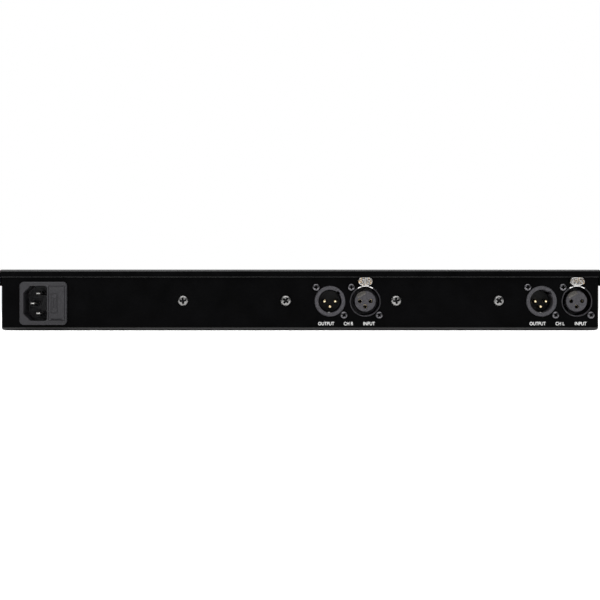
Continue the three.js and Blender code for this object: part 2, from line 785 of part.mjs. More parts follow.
// A rocker with two faces that meet in a shallow valley, tilted to its off position.
function rocker() {
  const { width, height, endRoom, horn, valley } = ROCKER;
  const { shoulder, depth, half } = ROCKER_FOOT;
  const rim = -ROCKER_FRAME.proud;
  const h = height / 2 - endRoom;
  const profile = polygon([
    [rim - horn, h],
    [rim + valley, 0],
    [rim - horn, -h],
    [shoulder, -h],
    [depth, -half],
    [depth, half],
    [shoulder, h],
  ]);
  return alongX(profile, -width / 2, width / 2);
}

place("power_switch_frame", switchFrame(), FINISH.blackPlastic, power);
const rockerMesh = place("power_rocker", rocker(), FINISH.blackPlastic, power);
rockerMesh.rotation.x = THREE.MathUtils.degToRad(-ROCKER.tilt);
const lens = rod(0, 0, LENS.radius, -LENS.proud, LENS.depth, 16);
place("power_lens", lens, FINISH.lens, frontAt(LENS.x));

export default model;
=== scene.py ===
"""A two-channel rack effects unit seen from behind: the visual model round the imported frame."""
import math

import bmesh
import bpy
from mathutils import Matrix, Vector
from mathutils.geometry import tessellate_polygon


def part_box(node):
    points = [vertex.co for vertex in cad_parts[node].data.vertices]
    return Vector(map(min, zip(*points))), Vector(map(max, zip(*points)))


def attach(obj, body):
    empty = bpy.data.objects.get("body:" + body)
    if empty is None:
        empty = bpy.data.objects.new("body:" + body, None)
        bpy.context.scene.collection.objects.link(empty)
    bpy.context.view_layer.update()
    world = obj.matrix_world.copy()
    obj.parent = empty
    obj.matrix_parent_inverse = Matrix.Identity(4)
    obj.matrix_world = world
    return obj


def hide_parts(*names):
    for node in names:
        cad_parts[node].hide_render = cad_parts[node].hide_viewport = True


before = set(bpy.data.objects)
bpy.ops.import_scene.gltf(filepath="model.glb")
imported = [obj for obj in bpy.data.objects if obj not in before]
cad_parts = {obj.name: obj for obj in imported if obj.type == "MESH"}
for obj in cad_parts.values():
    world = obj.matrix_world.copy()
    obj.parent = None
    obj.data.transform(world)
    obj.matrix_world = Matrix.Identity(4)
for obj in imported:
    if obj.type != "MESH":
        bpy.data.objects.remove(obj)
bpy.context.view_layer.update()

# Shapes are drawn in millimetres, and piece() puts them in the frame's metres.
MM = 0.001
ROOT = "chassis"
SIDES = ("right", "left")

# ---------- places and sizes from the frame ----------
def box(node):
    """The lowest and highest corners of a CAD node's box."""
    return [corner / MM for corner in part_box(node)]


def middle(node):
    """The centre of a CAD node's box."""
    low, high = box(node)
    return (low + high) / 2


def seat(node):
    """The lowest and highest corners of a CAD node's box, and the X and Z of its centre."""
    low, high = box(node)
    return low, high, (low.x + high.x) / 2, (low.z + high.z) / 2


TRAY_LOW, TRAY_HIGH = box("chassis_tray")
PANEL_LOW, PANEL_HIGH = box("front_panel")
COVER_LOW, COVER_HIGH = box("top_cover")
REAR = TRAY_HIGH.y
HALF = TRAY_HIGH.x
FACE = PANEL_LOW.y
MID = (PANEL_LOW.z + PANEL_HIGH.z) / 2
SHEET = 1.5
COVER_SHEET = 1.2
# How far a cutting tool reaches past the face that it cuts.
PAST = 1


# ---------- outlines: lists of (u, v), counter-clockwise ----------
def arc(cu, cv, radius, start, stop, steps):
    """Points of an arc, angles in degrees."""
    turn = [math.radians(start + (stop - start) * i / steps) for i in range(steps + 1)]
    return [(cu + radius * math.cos(a), cv + radius * math.sin(a)) for a in turn]


def circle(u, v, radius, sides=64):
    return arc(u, v, radius, 0, 360, sides)[:-1]


def folded(points, steps=8):
    """An outline from (u, v, radius) corners, each rounded by about its radius."""
    result = []
    for i, (u, v, radius) in enumerate(points):
        before, after = Vector(points[i - 1][:2]), Vector(points[(i + 1) % len(points)][:2])
        corner = Vector((u, v))
        if radius <= 0:
            result.append((u, v))
            continue
        reach = [min(radius, (other - corner).length * 0.49) for other in (before, after)]
        start = corner + (before - corner).normalized() * reach[0]
        stop = corner + (after - corner).normalized() * reach[1]
        for step in range(steps + 1):
            t = step / steps
            point = start * (1 - t) ** 2 + corner * 2 * t * (1 - t) + stop * t ** 2
            result.append(tuple(point))
    return result


def rectangle(u, v, width, height, radius=0.0, steps=6):
    w, h = width / 2, height / 2
    if radius <= 0:
        return [(u - w, v - h), (u + w, v - h), (u + w, v + h), (u - w, v + h)]
    corners = ((1, -1, -90), (1, 1, 0), (-1, 1, 90), (-1, -1, 180))
    points = []
    for su, sv, start in corners:
        centre = (u + su * (w - radius), v + sv * (h - radius))
        points += arc(*centre, radius, start, start + 90, steps)
    return points


def inset(points, distance):
    """The closed outline moved inward by distance, or outward if it is negative."""
    moved = []
    for i, here in enumerate(points):
        before, after = Vector(points[i - 1]), Vector(points[(i + 1) % len(points)])
        into, out = (Vector(here) - before).normalized(), (after - Vector(here)).normalized()
        normal = Vector((-into.y - out.y, into.x + out.x))
        scale = distance / max(0.2, 1 + into.dot(out))
        moved.append((here[0] + normal.x * scale, here[1] + normal.y * scale))
    return moved


# Where the (u, v, w) of an outline and its thickness lie in the frame.
AXES = {
    "X": lambda u, v, w: (w, u, v),
    "Y": lambda u, v, w: (u, w, v),
    "Z": lambda u, v, w: (u, v, w),
}


# ---------- meshes ----------
def bridge(bm, rings, closed=False):
    """Quads between rings of vertices with equal counts."""
    pairs = list(zip(rings, rings[1:]))
    if closed:
        pairs.append((rings[-1], rings[0]))
    for low, high in pairs:
        count = len(low)
        for i in range(count):
            j = (i + 1) % count
            bm.faces.new((low[i], low[j], high[j], high[i]))


def plate(outline, holes, low, high, edge=0.2, axis="Y", steps=3, bm=None, hole_edge=None):
    """A flat piece between two planes, with rounded edges on its outline and its holes."""
    bm = bm or bmesh.new()
    hole_edge = edge if hole_edge is None else hole_edge
    caps = [[], []]
    for sign, loop, size in [(1, outline, edge)] + [(-1, hole, hole_edge) for hole in holes]:
        angles = [math.pi / 2 * i / steps for i in range(steps + 1)] if size > 0 else [math.pi / 2]
        near = [(size * (1 - math.sin(a)), low + size * (1 - math.cos(a))) for a in angles]
        far = [(shrink, low + high - w) for shrink, w in reversed(near)]
        rings = []
        for shrink, w in near + far:
            ring = [AXES[axis](u, v, w) for u, v in inset(loop, sign * shrink)]
            rings.append([bm.verts.new(point) for point in ring])
        bridge(bm, rings)
        caps[0].append(rings[0])
        caps[1].append(rings[-1])
    for loops in caps:
        flat = [vert for ring in loops for vert in ring]
        for triangle in tessellate_polygon([[vert.co for vert in ring] for ring in loops]):
            bm.faces.new([flat[i] for i in triangle])
    return bm


# A radius below this is a point on the axis.
ON_AXIS = 1e-4


def lathe(profile, x, z, segments=64, closed=False, bm=None, axis="Y"):
    """A body of revolution: [(radius, along)] turned about a line through (x, z)."""
    bm = bm or bmesh.new()
    columns = []
    for radius, along in profile:
        if radius < ON_AXIS:
            columns.append([bm.verts.new(AXES[axis](x, z, along))])
            continue
        ring = []
        for i in range(segments):
            a = 2 * math.pi * i / segments
            point = AXES[axis](x + radius * math.cos(a), z + radius * math.sin(a), along)
            ring.append(bm.verts.new(point))
        columns.append(ring)
    pairs = list(zip(columns, columns[1:]))
    if closed:
        pairs.append((columns[-1], columns[0]))
    for first, second in pairs:
        for i in range(segments):
            j = (i + 1) % segments
            corners = [first[i % len(first)], first[j % len(first)]]
            corners += [second[j % len(second)], second[i % len(second)]]
            unique = list(dict.fromkeys(corners))
            if len(unique) > 2:
                bm.faces.new(unique)
    return bm


def bar(place, radius, low, high, sides=24, bm=None):
    """A plain round bar along Y through a place."""
    return plate(circle(place[0], place[1], radius, sides), [], low, high, 0, bm=bm)


def box_bm(low, high, edge=0.15, bm=None):
    """A box with rounded edges between two corners."""
    centre = ((low[0] + high[0]) / 2, (low[2] + high[2]) / 2)
    size = (high[0] - low[0], high[2] - low[2])
    corner = min(edge * 1.5, min(size) * 0.3)
    return plate(rectangle(*centre, *size, corner, 3), [], low[1], high[1], edge, bm=bm)


def soft(profile, radius, steps=3):
    """An open profile with its inner corners rounded."""
    result = [profile[0]]
    for before, here, after in zip(profile, profile[1:], profile[2:]):
        corner = Vector(here)
        toward = [Vector(before) - corner, Vector(after) - corner]
        reach = [min(radius, leg.length * 0.45) for leg in toward]
        start = corner + toward[0].normalized() * reach[0]
        stop = corner + toward[1].normalized() * reach[1]
        for step in range(steps + 1):
            t = step / steps
            result.append(tuple(start * (1 - t) ** 2 + corner * 2 * t * (1 - t) + stop * t ** 2))
    return result + [profile[-1]]


def combine(bm, tool, operation="DIFFERENCE"):
    """bm with tool cut out of it, joined to it, or kept where both are."""
    objects = []
    for source in (bm, tool):
        bmesh.ops.recalc_face_normals(source, faces=source.faces)
        mesh = bpy.data.meshes.new("cutting")
        source.to_mesh(mesh)
        source.free()
        obj = bpy.data.objects.new("cutting", mesh)
        bpy.context.scene.collection.objects.link(obj)
        objects.append(obj)
    modifier = objects[0].modifiers.new("cut", "BOOLEAN")
    modifier.operation = operation
    modifier.solver = "EXACT"
    modifier.object = objects[1]
    graph = bpy.context.evaluated_depsgraph_get()
    result = bmesh.new()
    result.from_mesh(objects[0].evaluated_get(graph).to_mesh())
    for obj in objects:
        bpy.data.objects.remove(obj)
    return result


def turned_about_y(bm, x, z, degrees):
    """bm turned about a line along Y through (x, z)."""
    place = Matrix.Translation((x, 0, z))
    turn = Matrix.Rotation(math.radians(degrees), 4, "Y")
    bm.transform(place @ turn @ place.inverted())
    return bm


# A face whose normal has a part this large lies square to an axis, and is shaded flat.
SQUARE = 0.99999
SHARP = math.radians(32)
# Points nearer than this are one point.
WELD = 0.002


def piece(name, bm, material, body=ROOT, nodes=()):
    """Makes bm an object that rides on a body, and stands for the CAD nodes named."""
    bmesh.ops.remove_doubles(bm, verts=bm.verts, dist=WELD)
    bmesh.ops.dissolve_degenerate(bm, edges=bm.edges, dist=WELD)
    bmesh.ops.recalc_face_normals(bm, faces=bm.faces)
    bm.transform(Matrix.Scale(MM, 4))
    mesh = bpy.data.meshes.new(name)
    bm.to_mesh(mesh)
    bm.free()
    mesh.materials.append(material)
    mesh.shade_smooth()
    mesh.set_sharp_from_angle(angle=SHARP)
    for polygon in mesh.polygons:
        if max(abs(value) for value in polygon.normal) > SQUARE:
            polygon.use_smooth = False
    obj = bpy.data.objects.new(name, mesh)
    bpy.context.scene.collection.objects.link(obj)
    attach(obj, body)
    if nodes:
        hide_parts(*nodes)
    # Blender adds a number to a name that one of the frame's own materials has.
    return obj


# ---------- materials ----------
class Nodes:
    """A material's node tree, with short calls to add and link nodes."""

    def __init__(self, name):
        self.material = bpy.data.materials.new(name)
        self.material.use_nodes = True
        self.tree = self.material.node_tree
        self.shader = self.tree.nodes["Principled BSDF"]

    def add(self, kind, **values):
        node = self.tree.nodes.new("ShaderNode" + kind)
        for key, value in values.items():
            if hasattr(node, key):
                setattr(node, key, value)
            else:
                node.inputs[key.replace("_", " ")].default_value = value
        return node

    def link(self, source, target):
        self.tree.links.new(source, target)

    def noise(self, vector, size, detail=3.0, rough=0.5):
        """Noise whose features are about size metres."""
        node = self.add("TexNoise", Scale=1 / size, Detail=detail, Roughness=rough)
        self.link(vector, node.inputs["Vector"])
        return node.outputs["Fac"]

    def spread(self, value, low, high, start=0.3, stop=0.7):
        """A value from start to stop mapped to low to high, and clamped."""
        node = self.add("MapRange", clamp=True)
        node.inputs["From Min"].default_value = start
        node.inputs["From Max"].default_value = stop
        node.inputs["To Min"].default_value = low
        node.inputs["To Max"].default_value = high
        self.link(value, node.inputs["Value"])
        return node.outputs["Result"]

    def mix(self, amount, first, second):
        """A colour between two, each an rgb triple or a socket."""
        node = self.add("Mix", data_type="RGBA")
        self.link(amount, node.inputs["Factor"])
        for socket, colour in (("A", first), ("B", second)):
            target = [s for s in node.inputs if s.name == socket and s.type == "RGBA"][0]
            if isinstance(colour, tuple):
                target.default_value = (*colour, 1)
            else:
                self.link(colour, target)
        return [s for s in node.outputs if s.type == "RGBA"][0]

    def bump(self, height, depth):
        node = self.add("Bump", Strength=1.0, Distance=depth)
        self.link(height, node.inputs["Height"])
        return node.outputs["Normal"]

    def place(self, scale=(1, 1, 1)):
        """The object's own coordinates, which are the frame's."""
        coordinates = self.add("TexCoord")
        mapping = self.add("Mapping")
        mapping.inputs["Scale"].default_value = scale
        self.link(coordinates.outputs["Object"], mapping.inputs["Vector"])
        return mapping.outputs["Vector"]

    def dress(self, colour, rough, normal, **constants):
        """Links the shader's colour, roughness and normal, and sets its constant values."""
        for socket, source in (("Base Color", colour), ("Roughness", rough), ("Normal", normal)):
            self.link(source, self.shader.inputs[socket])
        for socket, value in constants.items():
            self.shader.inputs[socket.replace("_", " ")].default_value = value
        return self.material


def finish(name, colour, other, rough, metallic=0.0, specular=0.5, grain=0.5, depth=0.02,
           stretch=(1, 1, 1), patch=9.0, coat=0.0):
    """A surface with a fine relief (grain and depth in mm), and broad changes of colour and gloss."""
    nodes = Nodes(name)
    fine = nodes.noise(nodes.place(stretch), grain * MM, 4)
    broad = nodes.noise(nodes.place(), patch * MM, 3)
    gloss = nodes.add("Math", operation="ADD")
    for source, target in zip((fine, broad), gloss.inputs):
        nodes.link(nodes.spread(source, rough[0] / 2, rough[1] / 2), target)
    return nodes.dress(nodes.mix(nodes.spread(broad, 0, 1), colour, other), gloss.outputs[0],
                       nodes.bump(fine, depth * MM), Metallic=metallic,
                       Specular_IOR_Level=specular, Coat_Weight=coat)


def moulded_finish(name, colour, other, grain, depth):
    """Spark-textured moulded plastic: a speckled relief whose tops are paler (sizes in mm)."""
    nodes = Nodes(name)
    where = nodes.place()
    speckle = nodes.noise(where, grain * MM, 5, 0.6)
    fine = nodes.noise(where, grain * 0.35 * MM, 3)
    return nodes.dress(nodes.mix(nodes.spread(speckle, 0, 1, 0.38, 0.66), colour, other),
                       nodes.spread(fine, 0.42, 0.68), nodes.bump(speckle, depth * MM),
                       Specular_IOR_Level=0.3)


def mottled_finish(name):
    """Worn plated metal: dark pits, bright flats and a few warm spots."""
    nodes = Nodes(name)
    pits = nodes.noise(nodes.place(), 0.9 * MM, 5, 0.7)
    warm = nodes.noise(nodes.place((1.3, 1, 0.8)), 1.2 * MM, 2)
    plain = nodes.mix(nodes.spread(pits, 0, 1, 0.44, 0.6), (0.06, 0.058, 0.056), (0.7, 0.69, 0.68))
    toned = nodes.mix(nodes.spread(warm, 0, 0.7, 0.55, 0.64), plain, (0.52, 0.34, 0.15))
    return nodes.dress(toned, nodes.spread(pits, 0.5, 0.24), nodes.bump(pits, 0.12 * MM), Metallic=1)


def turned_finish(name, colour, other, rough, groove=0.02):
    """A lathe-turned face: fine rings about each piece's own middle line along Y."""
    nodes = Nodes(name)
    where = nodes.add("TexCoord").outputs["Generated"]
    for operation, values in (("SUBTRACT", (0.5, 0.5, 0.5)), ("MULTIPLY", (1, 0, 1)), ("LENGTH", None)):
        step = nodes.add("VectorMath", operation=operation)
        nodes.link(where, step.inputs[0])
        if values:
            step.inputs[1].default_value = values
        where = step.outputs[0]
    noise = nodes.add("TexNoise", noise_dimensions="1D", Scale=150.0, Detail=3.0)
    nodes.link(step.outputs["Value"], noise.inputs["W"])
    rings = noise.outputs["Fac"]
    tangent = nodes.add("Tangent", direction_type="RADIAL", axis="Y")
    nodes.link(tangent.outputs[0], nodes.shader.inputs["Tangent"])
    return nodes.dress(nodes.mix(nodes.spread(rings, 0, 1), colour, other), nodes.spread(rings, *rough),
                       nodes.bump(rings, groove * MM), Anisotropic=0.75, Metallic=1)


def board_finish(name, axis, edge):
    """A green board with pale tracks, and dark components beyond the plane at edge on an axis."""
    nodes = Nodes(name)
    where = nodes.place()
    split = nodes.add("SeparateXYZ")
    nodes.link(where, split.inputs[0])
    beyond = nodes.add("Math", operation="GREATER_THAN" if axis == "Z" else "LESS_THAN")
    nodes.link(split.outputs[axis], beyond.inputs[0])
    beyond.inputs[1].default_value = edge
    tracks = nodes.noise(nodes.place((1, 0.12, 1)), 2.2 * MM, 0)
    green = nodes.mix(nodes.spread(tracks, 0, 1, 0.54, 0.57), (0.01, 0.07, 0.03), (0.03, 0.16, 0.06))
    kinds = nodes.noise(where, 22 * MM, 0)
    parts = nodes.mix(nodes.spread(kinds, 0, 1, 0.46, 0.54), (0.012, 0.016, 0.03), (0.045, 0.045, 0.05))
    fine = nodes.noise(where, 0.5 * MM, 3)
    return nodes.dress(nodes.mix(beyond.outputs[0], green, parts), nodes.spread(fine, 0.28, 0.5),
                       nodes.bump(fine, 0.02 * MM))


# The darkest, nearly glossless copy of the black paint, for the sheets' rear faces: painted shade.
REAR_SHADE_PAINT = finish("powder_coat_rear_painted_shade", (0.0007, 0.0007, 0.0008), (0.0014, 0.0014, 0.0016), (0.26, 0.4),
               specular=0.022, grain=0.9, depth=0.012, patch=14)
# A paler, glossier copy of the same paint for bends and edges: painted highlight.
BEND_HIGHLIGHT_PAINT = finish("bend_painted_highlight", (0.003, 0.003, 0.0033), (0.005, 0.005, 0.0054), (0.3, 0.44),
                    specular=0.5, grain=0.9, depth=0.012, patch=14)
# A paler copy of the same paint with more sheen, for every other face of the sheets: painted sheen.
SHEEN_FACES_PAINT = finish("coat_painted_sheen", (0.0018, 0.0018, 0.002), (0.0034, 0.0034, 0.0037), (0.3, 0.44),
                     specular=0.24, grain=0.9, depth=0.012, patch=14)
ANODISED = finish("anodised_panel", (0.0035, 0.0035, 0.004), (0.007, 0.007, 0.008), (0.22, 0.46),
                  specular=0.25, grain=0.3, depth=0.018, stretch=(0.012, 1, 1), patch=20)
GREY_PLASTIC = moulded_finish("grey_moulding", (0.008, 0.0078, 0.009), (0.03, 0.0288, 0.033),
                              grain=0.45, depth=0.08)
RING_PLASTIC = moulded_finish("connector_moulding", (0.016, 0.0155, 0.0178), (0.058, 0.0555, 0.063),
                              grain=0.42, depth=0.07)
# A paler copy of the connector plastic for the insert's upward flat: painted light.
FACET_LIGHT_PLASTIC = moulded_finish("facet_painted_light", (0.022, 0.021, 0.02), (0.13, 0.121, 0.11),
                              grain=0.5, depth=0.06)
BLACK_PLASTIC = finish("black_moulding", (0.003, 0.003, 0.0034), (0.006, 0.006, 0.007),
                       (0.4, 0.6), specular=0.2, grain=0.25, depth=0.02, patch=5)
BRIGHT_STEEL = finish("bright_steel", (0.24, 0.237, 0.233), (0.38, 0.373, 0.366), (0.24, 0.4),
                      metallic=1, grain=0.3, depth=0.012, patch=1.4)
PAN_STEEL = finish("pan_steel", (0.17, 0.168, 0.165), (0.3, 0.295, 0.29), (0.26, 0.42),
                   metallic=1, grain=0.3, depth=0.012, patch=1.4)
DARK_NICKEL = finish("black_nickel", (0.10, 0.098, 0.105), (0.17, 0.165, 0.175), (0.24, 0.42),
                     metallic=1, grain=0.3, depth=0.01, patch=1.4)
RING_NICKEL = finish("ring_nickel", (0.035, 0.034, 0.037), (0.07, 0.068, 0.073), (0.26, 0.44),
                     metallic=1, grain=0.3, depth=0.01, patch=1.4)
# Darker metal for the walls and floor of the screws' cross recesses: painted shade.
RECESS_SHADE_STEEL = finish("recess_painted_shade", (0.012, 0.012, 0.013), (0.03, 0.03, 0.032), (0.45, 0.65),
                      metallic=1, grain=0.2, depth=0.01, patch=0.8)
# Bright metal for the latch clip, made near-white and only partly metallic so that it shows white
# everywhere: a painted highlight.
CLIP_HIGHLIGHT_METAL = finish("clip_painted_highlight", (0.72, 0.71, 0.7), (0.86, 0.85, 0.84), (0.26, 0.4),
                    metallic=0.4, grain=0.2, depth=0.006, patch=1.2)
GOLD = finish("gold_plate", (0.88, 0.69, 0.38), (0.97, 0.82, 0.55), (0.16, 0.3),
              metallic=1, grain=0.3, depth=0.004, patch=1.5)
BLADE_METAL = finish("nickel_blade", (0.4, 0.395, 0.38), (0.56, 0.55, 0.53), (0.2, 0.36),
                     metallic=1, grain=0.2, depth=0.008, stretch=(1, 0.1, 1), patch=2)
TURNED = turned_finish("turned_aluminium", (0.3, 0.305, 0.315), (0.5, 0.505, 0.515), (0.22, 0.4))
FLAT_BOARD = board_finish("flat_board", "Z", 7.4 * MM)
UPRIGHT_BOARD = board_finish("upright_board", "Y", (FACE + 17.9) * MM)
WINDING = finish("winding_tape", (0.34, 0.16, 0.03), (0.44, 0.22, 0.05), (0.3, 0.5),
                 grain=1.0, depth=0.08, patch=8)
ALUMINIUM = finish("mill_aluminium", (0.5, 0.5, 0.51), (0.6, 0.6, 0.61), (0.3, 0.5),
                   metallic=1, grain=0.4, depth=0.01, stretch=(0.05, 1, 1), patch=10)
LATCH_METAL = mottled_finish("plated_latch")
LENS_RED = finish("red_lens", (0.42, 0.012, 0.008), (0.5, 0.02, 0.012), (0.08, 0.2),
                  specular=0.6, grain=0.4, depth=0.006, patch=2, coat=0.6)
GLASS = finish("fuse_tube", (0.8, 0.85, 0.86), (0.9, 0.94, 0.95), (0.03, 0.1),
               specular=0.6, grain=0.5, depth=0.004, patch=3)
GLASS.node_tree.nodes["Principled BSDF"].inputs["Transmission Weight"].default_value = 0.9
POINTER_INK = finish("pointer_ink", (0.015, 0.015, 0.016), (0.025, 0.025, 0.026), (0.4, 0.6),
                     grain=0.2, depth=0.006, patch=1)
INK = finish("white_ink", (0.62, 0.62, 0.62), (0.74, 0.74, 0.73), (0.5, 0.7),
             grain=0.12, depth=0.004, patch=0.8)

# ---------- the camera, the floor and the light ----------
VIEW_DISTANCE, VIEW_HEIGHT = 950, 21.1
FOCAL_LENGTH, FILM_WIDTH = 81.08, 36
NEAREST = 10 * MM
camera_data = bpy.data.cameras.new("camera")
camera_data.lens = FOCAL_LENGTH
camera_data.sensor_width = FILM_WIDTH
camera_data.clip_start = NEAREST
camera = bpy.data.objects.new("camera", camera_data)
camera.location = (0, (REAR + VIEW_DISTANCE) * MM, VIEW_HEIGHT * MM)
camera.rotation_euler = (math.radians(90), 0, math.radians(180))
bpy.context.scene.collection.objects.link(camera)
bpy.context.scene.camera = camera
bpy.context.scene.view_settings.view_transform = "Standard"


def area_light(name, place, aim, size, power, tint=(1, 1, 1)):
    data = bpy.data.lights.new(name, "AREA")
    data.shape = "RECTANGLE"
    data.size, data.size_y = size
    data.energy = power
    data.color = tint
    light = bpy.data.objects.new(name, data)
    light.location = place
    light.rotation_euler = (Vector(aim) - Vector(place)).to_track_quat("-Z", "Y").to_euler()
    bpy.context.scene.collection.objects.link(light)


area_light("overhead", (0, 0.5, 1.4), (0, 0.5, 0), (2.0, 1.7), 30)
area_light("rear_key", (0.55, 1.5, 1.0), (0, 0.1, 0.02), (0.6, 0.3), 4)
area_light("front_key", (-0.7, -1.3, 0.9), (0, -0.1, 0.02), (0.9, 0.4), 5)

world = bpy.data.worlds.new("studio")
world.use_nodes = True
bpy.context.scene.world = world
world_tree = world.node_tree
ray = world_tree.nodes.new("ShaderNodeLightPath")


def sky(strength, tint=(1, 1, 1)):
    node = world_tree.nodes.new("ShaderNodeBackground")
    node.inputs["Color"].default_value = (*tint, 1)
    node.inputs["Strength"].default_value = strength
    return node.outputs[0]


def choose(kind, first, second):
    node = world_tree.nodes.new("ShaderNodeMixShader")
    world_tree.links.new(ray.outputs[kind], node.inputs[0])
    world_tree.links.new(first, node.inputs[1])
    world_tree.links.new(second, node.inputs[2])
    return node.outputs[0]


# Even light for matt surfaces, a dim room for shiny ones, and a white backdrop for the camera.
room = choose("Is Glossy Ray", sky(1.14), sky(0.14, (0.92, 0.96, 1)))
surface = choose("Is Camera Ray", room, sky(1.0))
world_tree.links.new(surface, world_tree.nodes["World Output"].inputs[0])

FLOOR_PAINT = finish("pale_floor", (0.94, 0.94, 0.94), (0.96, 0.96, 0.96), (0.7, 0.8),
                     specular=0.2, grain=2, depth=0.01, patch=120)
floor_mesh = bpy.data.meshes.new("floor")
FLOOR_HALF = 6.0
FLOOR_LEVEL = -0.3 * MM
corners = [(*corner, FLOOR_LEVEL) for corner in rectangle(0, 0, 2 * FLOOR_HALF, 2 * FLOOR_HALF)]
floor_mesh.from_pydata(corners, [], [(0, 1, 2, 3)])
floor_mesh.materials.append(FLOOR_PAINT)
floor = bpy.data.objects.new("floor", floor_mesh)
bpy.context.scene.collection.objects.link(floor)


# ---------- sheet metal ----------
KINDS = ("output", "input")
CONNECTORS = {f"{side}_{kind}": middle(f"{side}_{kind}_shell") for side in SIDES for kind in KINDS}
NOSE = 11.0
SEAM = 0.4
TRAY_BEND, TRAY_INNER = 2.2, 0.6
COVER_BEND, COVER_INNER = 1.9, 0.7
LIP_DROP, LIP_HALF = 5.4, 210.5
REAR_CUT = (REAR - 2 * SHEET, REAR + PAST)
FRONT_CUT = (TRAY_LOW.y - PAST, TRAY_LOW.y + 2 * SHEET)
# A face within this of square to an axis is not part of a bend.
UNBENT = 0.992


def painted(obj):
    """Lit and shaded copies of one paint, chosen by face direction: a paler, glossier copy on a sheet's
    bends and edges is a painted highlight, a darker copy on its rear faces is painted shade, and a copy
    with more sheen on all other faces is painted sheen.
    """
    obj.data.materials.append(BEND_HIGHLIGHT_PAINT)
    obj.data.materials.append(SHEEN_FACES_PAINT)
    for polygon in obj.data.polygons:
        if max(abs(value) for value in polygon.normal) < UNBENT:
            polygon.material_index = 1
        elif polygon.normal.y < 0.5:
            polygon.material_index = 2


def add_bevel(obj, width):
    """Rounded edges, made by a modifier."""
    bevel = obj.modifiers.new("edges", "BEVEL")
    bevel.width = width * MM
    bevel.segments = 2
    bevel.limit_method = "ANGLE"
    bevel.angle_limit = math.radians(50)


LATCH_ROUND = 2.62


def latch_outline(side, grow=0.0):
    """The rounded window of an input's latch tab, or the tab itself."""
    low, high, x, z = seat(f"{side}_input_latch")
    size = high - low
    return rectangle(x, z, size.x + 2 * grow, size.z + 2 * grow, LATCH_ROUND + grow, 8)


def chassis_tray():
    top, bend, inner = TRAY_HIGH.z, TRAY_BEND, TRAY_INNER
    foot = REAR - 6
    wall_half = HALF - SEAM
    wall = plate(folded([
        (foot, 0, 0), (REAR, 0, bend), (REAR, top, 0),
        (REAR - SHEET, top, 0), (REAR - SHEET, SHEET, inner), (foot, SHEET, 0),
    ]), [], -wall_half, wall_half, 0, "X")
    frame_outline = folded([
        (-wall_half, 0, bend), (wall_half, 0, bend),
        (wall_half, top + PAST, 0), (-wall_half, top + PAST, 0),
    ])
    wall = combine(wall, plate(frame_outline, [], foot - PAST, REAR + PAST, 0), "INTERSECT")
    channel = plate(folded([
        (-HALF, 0, bend), (HALF, 0, bend), (HALF, top, 0), (HALF - SHEET, top, 0),
        (HALF - SHEET, SHEET, inner), (-HALF + SHEET, SHEET, inner), (-HALF + SHEET, top, 0),
        (-HALF, top, 0),
    ]), [], TRAY_LOW.y, REAR - SHEET - 0.1, 0)
    body = combine(wall, channel, "UNION")
    front = plate(rectangle(0, (top + SHEET) / 2, 2 * HALF - 1, top - SHEET / 2), [],
                  TRAY_LOW.y, TRAY_LOW.y + SHEET, 0)
    body = combine(body, front, "UNION")
    through = bmesh.new()
    for place in CONNECTORS.values():
        bar((place.x, place.z), NOSE, *REAR_CUT, 72, bm=through)
    low, high, x, z = seat("iec_inlet_housing")
    window = (high.x - low.x - 3, high.z - low.z - 2.4)
    plate(rectangle(x, z, *window), [], *REAR_CUT, 0, bm=through)
    body = combine(body, through)
    for side in SIDES:
        body = combine(body, plate(latch_outline(side, 0.25), [], *REAR_CUT, 0))
    controls = bmesh.new()
    for x, z, radius in control_holes():
        bar((x, z), radius, *FRONT_CUT, 32, bm=controls)
    switch = middle("power_switch_frame")
    plate(rectangle(switch.x, switch.z, 14, 20), [], *FRONT_CUT, 0, bm=controls)
    painted(piece("tray_shell", combine(body, controls), REAR_SHADE_PAINT, nodes=["chassis_tray"]))


def control_holes():
    """(x, z, radius) of each round hole of the front."""
    holes = []
    for side in SIDES:
        for role in ("drive", "level"):
            place = middle(f"{side}_{role}_knob")
            holes.append((place.x, place.z, 4.5))
        place = middle(f"{side}_bypass_button")
        holes.append((place.x, place.z, 4.9))
    place = middle("power_lens")
    return holes + [(place.x, place.z, 2.8)]


def top_cover():
    top, bend, inner = COVER_HIGH.z, COVER_BEND, COVER_INNER
    lip = top - LIP_DROP
    rear, under = COVER_HIGH.y, top - COVER_SHEET
    start = COVER_LOW.y
    sheet = plate(folded([
        (start, under, 0), (rear - COVER_SHEET, under, inner), (rear - COVER_SHEET, lip, 0.2),
        (rear, lip, 0.3), (rear, top, bend), (start, top, 0),
    ]), [], -LIP_HALF, LIP_HALF, 0, "X")
    ends = rectangle(0, (top + lip) / 2, 2 * LIP_HALF, top - lip, 1.3)
    sheet = combine(sheet, plate(ends, [], start - PAST, rear + PAST, 0), "INTERSECT")
    wide, flange = COVER_HIGH.x, COVER_LOW.z
    arch = plate(folded([
        (-wide, flange, 0.5), (-wide + COVER_SHEET, flange, 0.2),
        (-wide + COVER_SHEET, under, inner), (wide - COVER_SHEET, under, inner),
        (wide - COVER_SHEET, flange, 0.2), (wide, flange, 0.5),
        (wide, top, bend), (-wide, top, bend),
    ]), [], start, REAR - 0.2, 0)
    body = combine(sheet, arch, "UNION")
    sinks = bmesh.new()
    for x, y in cover_screw_places():
        cone = [(0, top - 1.3), (1.8, top - 1.3), (3.25, top - 0.02),
                (3.25, top + PAST), (0, top + PAST)]
        lathe(cone, x, y, 40, bm=sinks, axis="Z")
    painted(piece("cover_shell", combine(body, sinks), REAR_SHADE_PAINT, nodes=["top_cover"]))


def cover_screw_places():
    return [(x, y) for x in (-HALF + 6, HALF - 6) for y in (-78, 7, 92)]


